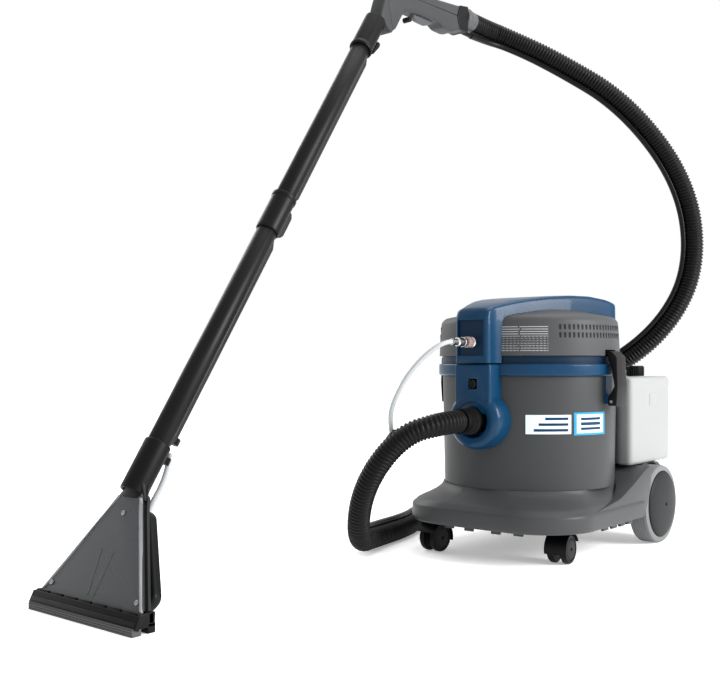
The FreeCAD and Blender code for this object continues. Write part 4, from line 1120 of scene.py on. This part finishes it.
@dataclass
class SolutionTank:
    """The milky tank behind the drum with its ribbed cap."""

    half_width: float = 170.0
    front: float = 130.0
    rear: float = 350.0
    low: float = 171.9
    high: float = 358.0
    hug_radius: float = 192.0

    def plan(self) -> Outline:
        """Return the tank's plan: rounded corners and a hollow front round the drum."""
        reach = math.sqrt(self.hug_radius ** 2 - (self.front + 2) ** 2)
        edge = math.degrees(math.atan2(self.front + 2, reach))
        hollow = [(self.hug_radius * math.cos(math.radians(turn)),
                   self.hug_radius * math.sin(math.radians(turn)))
                  for turn in [180 - edge - (180 - 2 * edge) * step / 28 for step in range(29)]]
        side = [(self.half_width, self.front), (self.half_width, self.rear),
                (-self.half_width, self.rear), (-self.half_width, self.front)]
        return hollow + softened([hollow[-1], *side, hollow[0]], 30, 8)[1:-1]

    def build(self) -> None:
        """Make the tank, its side pad, its neck thread and its cap."""
        prism(self.plan(), self.low, self.high).made(
            "blown_tank", Palette.TANK, "tank", ["solution_tank"], bevel=13, steps=6, angle=60)
        mark = softened([(222, 296), (262, 296), (262, 322), (222, 322)], 4, closed=True)
        side_prism(mark, 168, 170.7).made("tank_side_pad", Palette.TANK, "tank",
                                                     bevel=0.5)
        neck = lathe(softened([(15, 350), (20, 350), (18.5, 360), (18, 369.6), (15, 369.6)], 1,
                              closed=True), 48, closed=True)
        neck.made("tank_neck_thread", Palette.TANK, "tank",
                  place=lambda x, y, z: (120 + x, 262 + y, z))
        cap = lathe(softened([(0, 382), (17, 382), (18.6, 380), (18.6, 359.2), (18.3, 359.2),
                              (18.3, 370.6), (0, 370.6)], 1.2), 64)
        for rib in range(28):
            turn = math.tau * rib / 28
            outline = [(18.4 * math.cos(turn - 0.05), 18.4 * math.sin(turn - 0.05)),
                       (19.4 * math.cos(turn), 19.4 * math.sin(turn)),
                       (18.4 * math.cos(turn + 0.05), 18.4 * math.sin(turn + 0.05))]
            cap.joined(prism(outline, 360, 379))
        cap.made("ribbed_cap", Palette.BLACK, "cap", ["tank_cap"],
                 place=lambda x, y, z: (120 + x, 262 + y, z))


@dataclass
class Wand:
    """Two tubes with their solution channel, collars, and the grip with its trigger."""

    radius: float = 19.0
    lower: float = -538.0
    upper: float = 478.0

    def section(self, start: float, end: float, fin_start: float,
                fin_end: float) -> tuple[Shell, Shell]:
        """Return a round tube and the D-shaped channel along its rear side.

        Args:
            start: The tube's lower end, along the wand.
            end: The tube's upper end.
            fin_start: The channel's lower end.
            fin_end: The channel's upper end.

        Returns:
            The tube and the channel.
        """
        shell = lathe([(17, start), (self.radius - 0.6, start), (self.radius, start + 1),
                       (self.radius, end - 1), (self.radius - 0.6, end), (17, end)], 48,
                      closed=True)
        fin: Outline = [(-9.5, 12), (-8.6, 17), (-6.6, 17.6), (-6.2, 19.4), (-6.4, 24),
                        (-4.4, 27.2), (0, 28), (4.4, 27.2), (6.4, 24), (6.2, 19.4), (6.6, 17.6),
                        (8.6, 17), (9.5, 12)]
        rings = []
        for z, share in ((fin_start, 0.55), (fin_start + 14, 1), (fin_end - 14, 1),
                         (fin_end, 0.55)):
            rings.append([(x, 12 + (y - 12) * share, z) for x, y in fin])
        return shell, loft(rings)

    def build(self) -> None:
        """Make the wand from the nozzle's socket up to the hose."""
        for name, node, span in (("lower", "lower_tube", (self.lower, -1, self.lower + 62, -46)),
                                 ("upper", "upper_tube", (1, self.upper, 46, self.upper - 46))):
            tube, fin = self.section(*span)
            tube.made(f"{name}_tube_round", Palette.WAND, MACHINE, [node], place=ON_WAND)
            fin.made(f"{name}_tube_channel", Palette.CHANNEL, MACHINE, place=ON_WAND)
        self.build_collar()
        self.build_socket()
        self.build_grip()

    def build_collar(self) -> None:
        """Make the collar where the tubes meet, with its lock button."""
        profile = softened([(19, -40), (21.6, -40), (22.4, -35), (22.4, 32), (24, 35), (24, 42),
                            (19, 42)], 1.5, closed=True)
        lathe(profile, 64, closed=True).made("tube_collar", Palette.WAND, MACHINE,
                                             ["joint_collar"], place=ON_WAND, angle=40)
        housing = softened([(19.5, -36), (26, -34), (30.5, -26), (30.5, 14), (26, 22), (19.5, 24)],
                           2.5, closed=True)
        side_prism(housing, -9, 9).made("collar_lock_housing", Palette.CHANNEL,
                                                   MACHINE, place=ON_WAND, bevel=1.2)
        button = softened([(24, -19), (33, -17), (33.4, -2), (31, 1.2), (24, 1.2)], 2,
                          closed=True)
        side_prism(button, -5.4, 5.4).made("collar_lock_button", Palette.BLACK,
                                                      "tube_button", ["joint_button"],
                                                      place=ON_WAND, bevel=0.8)

    def build_socket(self) -> None:
        """Make the grip's socket on the upper tube, with its clip."""
        top = self.upper
        profile = softened([(19, top - 44), (23.4, top - 44), (24, top - 40), (22.4, top - 33),
                            (22.4, top + 44), (17.2, top + 44), (17.2, top), (19, top)], 1.5,
                           closed=True)
        lathe(profile, 64, closed=True).made("grip_socket", Palette.BLACK, MACHINE,
                                             ["handle_socket"], place=ON_WAND, angle=40)
        clip = softened([(25.5, top - 28), (28.5, top - 26), (34.5, top + 2), (32.5, top + 8),
                         (25.5, top + 8)], 1.5, closed=True)
        side_prism(clip, -7, 7).made("socket_lock_clip", Palette.BLACK, "handle_clip",
                                                ["socket_button"], place=ON_WAND, bevel=0.8)

    def build_grip(self) -> None:
        """Make the grip, its end flare, trigger, valve and swivel cuff."""
        axis = 1160
        grip = softened([(-248, axis - 66), (-208, axis - 92), (-188, axis - 60),
                         (-166, axis - 28), (-128, axis - 24), (-40, axis - 22),
                         (-24, axis - 30), (14, axis - 30), (44, axis - 18), (74, axis - 15),
                         (74, axis + 43), (40, axis + 37), (-60, axis + 26), (-190, axis + 16),
                         (-230, axis - 16)], 10, 5, closed=True)
        side_prism(grip, WAND_ACROSS - 18, WAND_ACROSS + 18).made(
            "hollow_grip", Palette.GRIP, MACHINE, ["handle_grip"], bevel=7, steps=4, angle=45)
        seam = side_prism([(-200, axis + 2), (-196, axis + 2), (66, axis + 14), (66, axis + 12)],
                     WAND_ACROSS - 18.3, WAND_ACROSS + 18.3)
        seam.made("grip_seam", Palette.BLACK, MACHINE)
        gusset = softened([(-206, axis - 84), (-198, axis - 78), (-150, axis - 6),
                           (-150, axis + 8), (-198, axis + 2), (-222, axis - 30)], 3, closed=True)
        side_prism(gusset, WAND_ACROSS - 18.8, WAND_ACROSS + 18.8).made(
            "grip_gusset", Palette.GRIP, MACHINE, bevel=1.2)
        flare = softened([(40, axis - 16), (66, axis - 17), (74, axis - 15), (74, axis + 43),
                          (40, axis + 37), (30, axis + 10)], 4, closed=True)
        side_prism(flare, WAND_ACROSS - 19.6, WAND_ACROSS + 19.6).made(
            "grip_end_flare", Palette.WAND, MACHINE, bevel=3)
        trigger = softened([(-120, 1144.2), (-118, 1130), (-104, 1126.6), (-70, 1126.2),
                            (-52, 1132), (-48, 1138), (-48, 1144.2)], 4, closed=True)
        side_prism(trigger, WAND_ACROSS - 6.3, WAND_ACROSS + 6.3).made(
            "spray_trigger_lever", Palette.LIGHT, "spray_trigger", ["trigger"], bevel=1.4)
        valve = lathe(softened([(0, -9), (5.6, -9), (5.6, 9), (0, 9)], 1.4), 32)
        valve.made("wand_valve_end", Palette.BLACK, MACHINE, ["wand_valve"],
                   place=lambda x, y, z: (WAND_ACROSS + z, -134 + x, 1121 + y))
        cuff = softened([(14.2, 74.6), (22.6, 74.6), (25, 80), (25, 90), (22.4, 93), (22.4, 112),
                         (21.4, 114.4), (14.2, 114.4)], 1.5, closed=True)
        lathe(cuff, 64, closed=True).made(
            "hose_swivel_cuff", Palette.LIGHT, "cuff", ["hose_cuff_wand"], angle=40,
            place=lambda x, y, z: (WAND_ACROSS + x, z, 1182 + y))


@dataclass
class Nozzle:
    """The floor nozzle: grey plate, clear front, clamp bar, lip, throat and rear guard."""

    half_width: float = 131.0
    length: float = 215.0
    socket_low: float = -572.0

    def fan(self, inset: float) -> Outline:
        """Return the fan's outline, drawn in by an inset."""
        half = self.half_width - 6 - inset
        top = 24 - inset
        right = [(half, 20), (half, 36), (top + 31, self.length - 62), (top + 19, self.length - 42),
                 (top + 9, self.length - 24), (top, self.length - 4)]
        return [*right, *[(-x, z) for x, z in reversed(right)]]

    def build(self) -> None:
        """Make the nozzle from its socket down to its lip."""
        prism(softened(self.fan(0), 8, 4, closed=True), 13, 19).made(
            "nozzle_back_plate", Palette.PLATE, MACHINE, ["nozzle_body"], place=on_fan, bevel=1)
        prism(softened(self.fan(6), 8, 4, closed=True), 3.9, 13.2).made(
            "nozzle_core_plate", Palette.PLATE, MACHINE, place=on_fan, bevel=2)
        prism(softened(self.fan(0), 8, 4, closed=True), 0, 3.8).made(
            "nozzle_clear_front", Palette.WINDOW, MACHINE, ["nozzle_window"], place=on_fan,
            bevel=1.4)
        self.build_edges()
        socket = softened([(17.2, self.socket_low), (22.5, self.socket_low),
                           (22.5, -484), (21.5, -482), (19.1, -482), (19.1, -538),
                           (17.2, -538)], 1.2, closed=True)
        lathe(socket, 64, closed=True).made("nozzle_socket", Palette.BLACK, MACHINE,
                                            place=ON_WAND, angle=40)
        rings = []
        for share in (0, 0.3, 0.6, 0.85, 1):
            ring = []
            for step in range(48):
                across, along = math.cos(math.tau * step / 48), math.sin(math.tau * step / 48)
                top = Vector(ON_WAND(22.4 * across, 22.4 * along, -556))
                foot = Vector(ON_NOZZLE(30 * across, 9 + 11 * along, self.length - 16))
                ring.append(tuple(top.lerp(foot, share)))
            rings.append(ring)
        loft(rings).made("nozzle_neck_shroud", Palette.BLACK, MACHINE, angle=50)
        self.build_mouth()
        guard = softened([(-104, 38), (104, 38), (119, 60), (38, 182), (28, 188), (-28, 188),
                          (-38, 182), (-119, 60)], 26, 6, closed=True)
        prism(guard, 19.2, 36).made("rear_spray_guard", Palette.WAND, MACHINE, ["spray_guard"],
                                    place=on_fan, bevel=3.5)
        block((-8, 8), (33, 51), (152, 176)).made("guard_feed_fitting", Palette.BLACK, MACHINE,
                                                  place=ON_NOZZLE, bevel=2)
        self.build_feed_nut()
        for index, (x, z) in enumerate(((0, self.length - 42), (24 - self.half_width, 46),
                                        (self.half_width - 24, 46))):
            head = lathe(softened([(0, 0.1), (4.6, 0.1), (4.4, 1.6), (2.6, 3), (0, 3)], 0.6), 24)
            head.made(f"nozzle_screw_{index}", Palette.STEEL, MACHINE,
                      ["nozzle_screws"] if index == 0 else (),
                      place=lambda a, b, c, sx=x, sz=z: ON_NOZZLE(sx + a, -c, sz + b))

    def build_edges(self) -> None:
        """Lay the rounded rims on the window's slanted sides, coloured nearly white as a painted
        highlight, and its middle rib.
        """
        edge = self.half_width - 6
        rims = Shell()
        for sign in (1, -1):
            outer = [(edge, 34), (55, self.length - 62), (43, self.length - 42),
                     (33, self.length - 24), (28, self.length - 14)]
            for (x0, z0), (x1, z1) in zip(outer, outer[1:]):
                corners = [(x0 - 5, z0), (x0 + 0.4, z0), (x1 + 0.4, z1), (x1 - 5, z1)]
                rims.joined(prism([(sign * x, z) for x, z in corners], -2, 4))
        rims.made("window_rims_painted_highlight", Palette.WINDOW_RIM_HIGHLIGHT, MACHINE, place=on_fan, bevel=1.8,
                  steps=3)
        for low, high in (((-10, -7), (-19, -17)), ((4, 7), (12, 14))):
            rib = [(low[0], 38), (low[1], 38), (high[1], 112), (high[0], 112)]
            prism(rib, -0.5, 0.4).made(f"window_rib_{high[1]}", Palette.LIGHT, MACHINE,
                                       place=on_fan, bevel=0.2)

    def build_mouth(self) -> None:
        """Make the notched clamp bar, the front lip, the rear foot and the cheeks."""
        wide = self.half_width
        bar = block((-wide - 3, wide + 3), (-8.5, 0), (8, 28))
        for tooth in range(7):
            start = -wide + 4 + tooth * (2 * wide - 8) / 7
            bar.joined(block((start, start + 31), (-7, 0), (27, 32)))
        bar.made("notched_clamp_bar", Palette.BLACK, MACHINE, ["nozzle_clamp"], place=ON_NOZZLE,
                 bevel=1)
        x = (WAND_ACROSS - wide, WAND_ACROSS + wide)
        lip = [(NOZZLE_BACK + 10, 12), (NOZZLE_BACK + 10, 0), (NOZZLE_BACK - 6, 0)]
        for groove in (3, 6.5, 10):
            lip += [(NOZZLE_BACK - 6, groove - 0.7), (NOZZLE_BACK - 4.8, groove),
                    (NOZZLE_BACK - 6, groove + 0.7)]
        lip.append((NOZZLE_BACK - 5, 12))
        side_prism(lip, *x).made("nozzle_front_lip", Palette.LIGHT, MACHINE,
                                            ["nozzle_lip"])
        throat = block(x, (NOZZLE_BACK + 22, NOZZLE_BACK + 36), (0, 15))
        throat.joined(block(x, (NOZZLE_BACK - 2, NOZZLE_BACK + 8), (9, 20)))
        throat.joined(block(x, (NOZZLE_BACK + 24, NOZZLE_BACK + 33), (14, 30)))
        for start in (x[0], x[1] - 5):
            cheek = [(NOZZLE_BACK - 5, 9), (NOZZLE_BACK + 35, 9), (NOZZLE_BACK + 36, 30),
                     (NOZZLE_BACK + 8, 30)]
            throat.joined(side_prism(cheek, start, start + 5))
        throat.made("nozzle_black_throat", Palette.BLACK, MACHINE, ["nozzle_throat"], bevel=1.2)

    def build_feed_nut(self) -> None:
        """Make the nut, elbow and ferrule that hold the clear feed tube's upper end."""
        for name, finish, spot, size in (("feed_nut_white", Palette.WHITE, (36, -488), 6.5),
                                         ("feed_elbow_black", Palette.BLACK, (29, -462), 7.5),
                                         ("feed_ferrule_black", Palette.BLACK, (31, -498), 7)):
            nut = lathe(softened([(0, -6), (size, -6), (size, 6), (0, 6)], 1.2), 6)
            nut.made(name, finish, MACHINE,
                     place=lambda a, b, c, s=spot: ON_WAND(a, s[0] + b, s[1] + c), angle=30)


class CadDress:
    """Finishes for the CAD nodes that show as they are."""

    FINISHES = {
        "lid_gasket": Palette.DEEP_BLUE, "motor_deck": Palette.DEEP_BLUE,
        "inlet_elbow": Palette.BLACK, "axle": Palette.STEEL, "pump": Palette.BLACK,
        "motor_housing": Palette.BLACK, "motor_rotor": Palette.STEEL,
        "float_cage": Palette.BLACK, "float_cup": Palette.LIGHT, "mains_gland": Palette.BLACK,
        "latch_pins": Palette.STEEL, "tank_valve": Palette.BLACK,
        "line_nipple": Palette.BLACK,
    }

    def build(self) -> None:
        """Give each remaining CAD node its finish."""
        for name, finish in self.FINISHES.items():
            mesh = NODES[name].data
            mesh.materials.clear()
            mesh.materials.append(finish.material)
            LOG.info("dressed %s", name)


def main() -> None:
    """Build the camera and the cords first, then every sub-assembly."""
    logging.basicConfig(level=logging.INFO, format="%(name)s: %(message)s")
    for part in (Viewpoint(), Studio(), Hoses(), RecoveryTank(), Trolley(), Head(),
                 SolutionTank(), Wand(), Nozzle(), CadDress()):
        part.build()


if __name__ == "__main__":
    main()
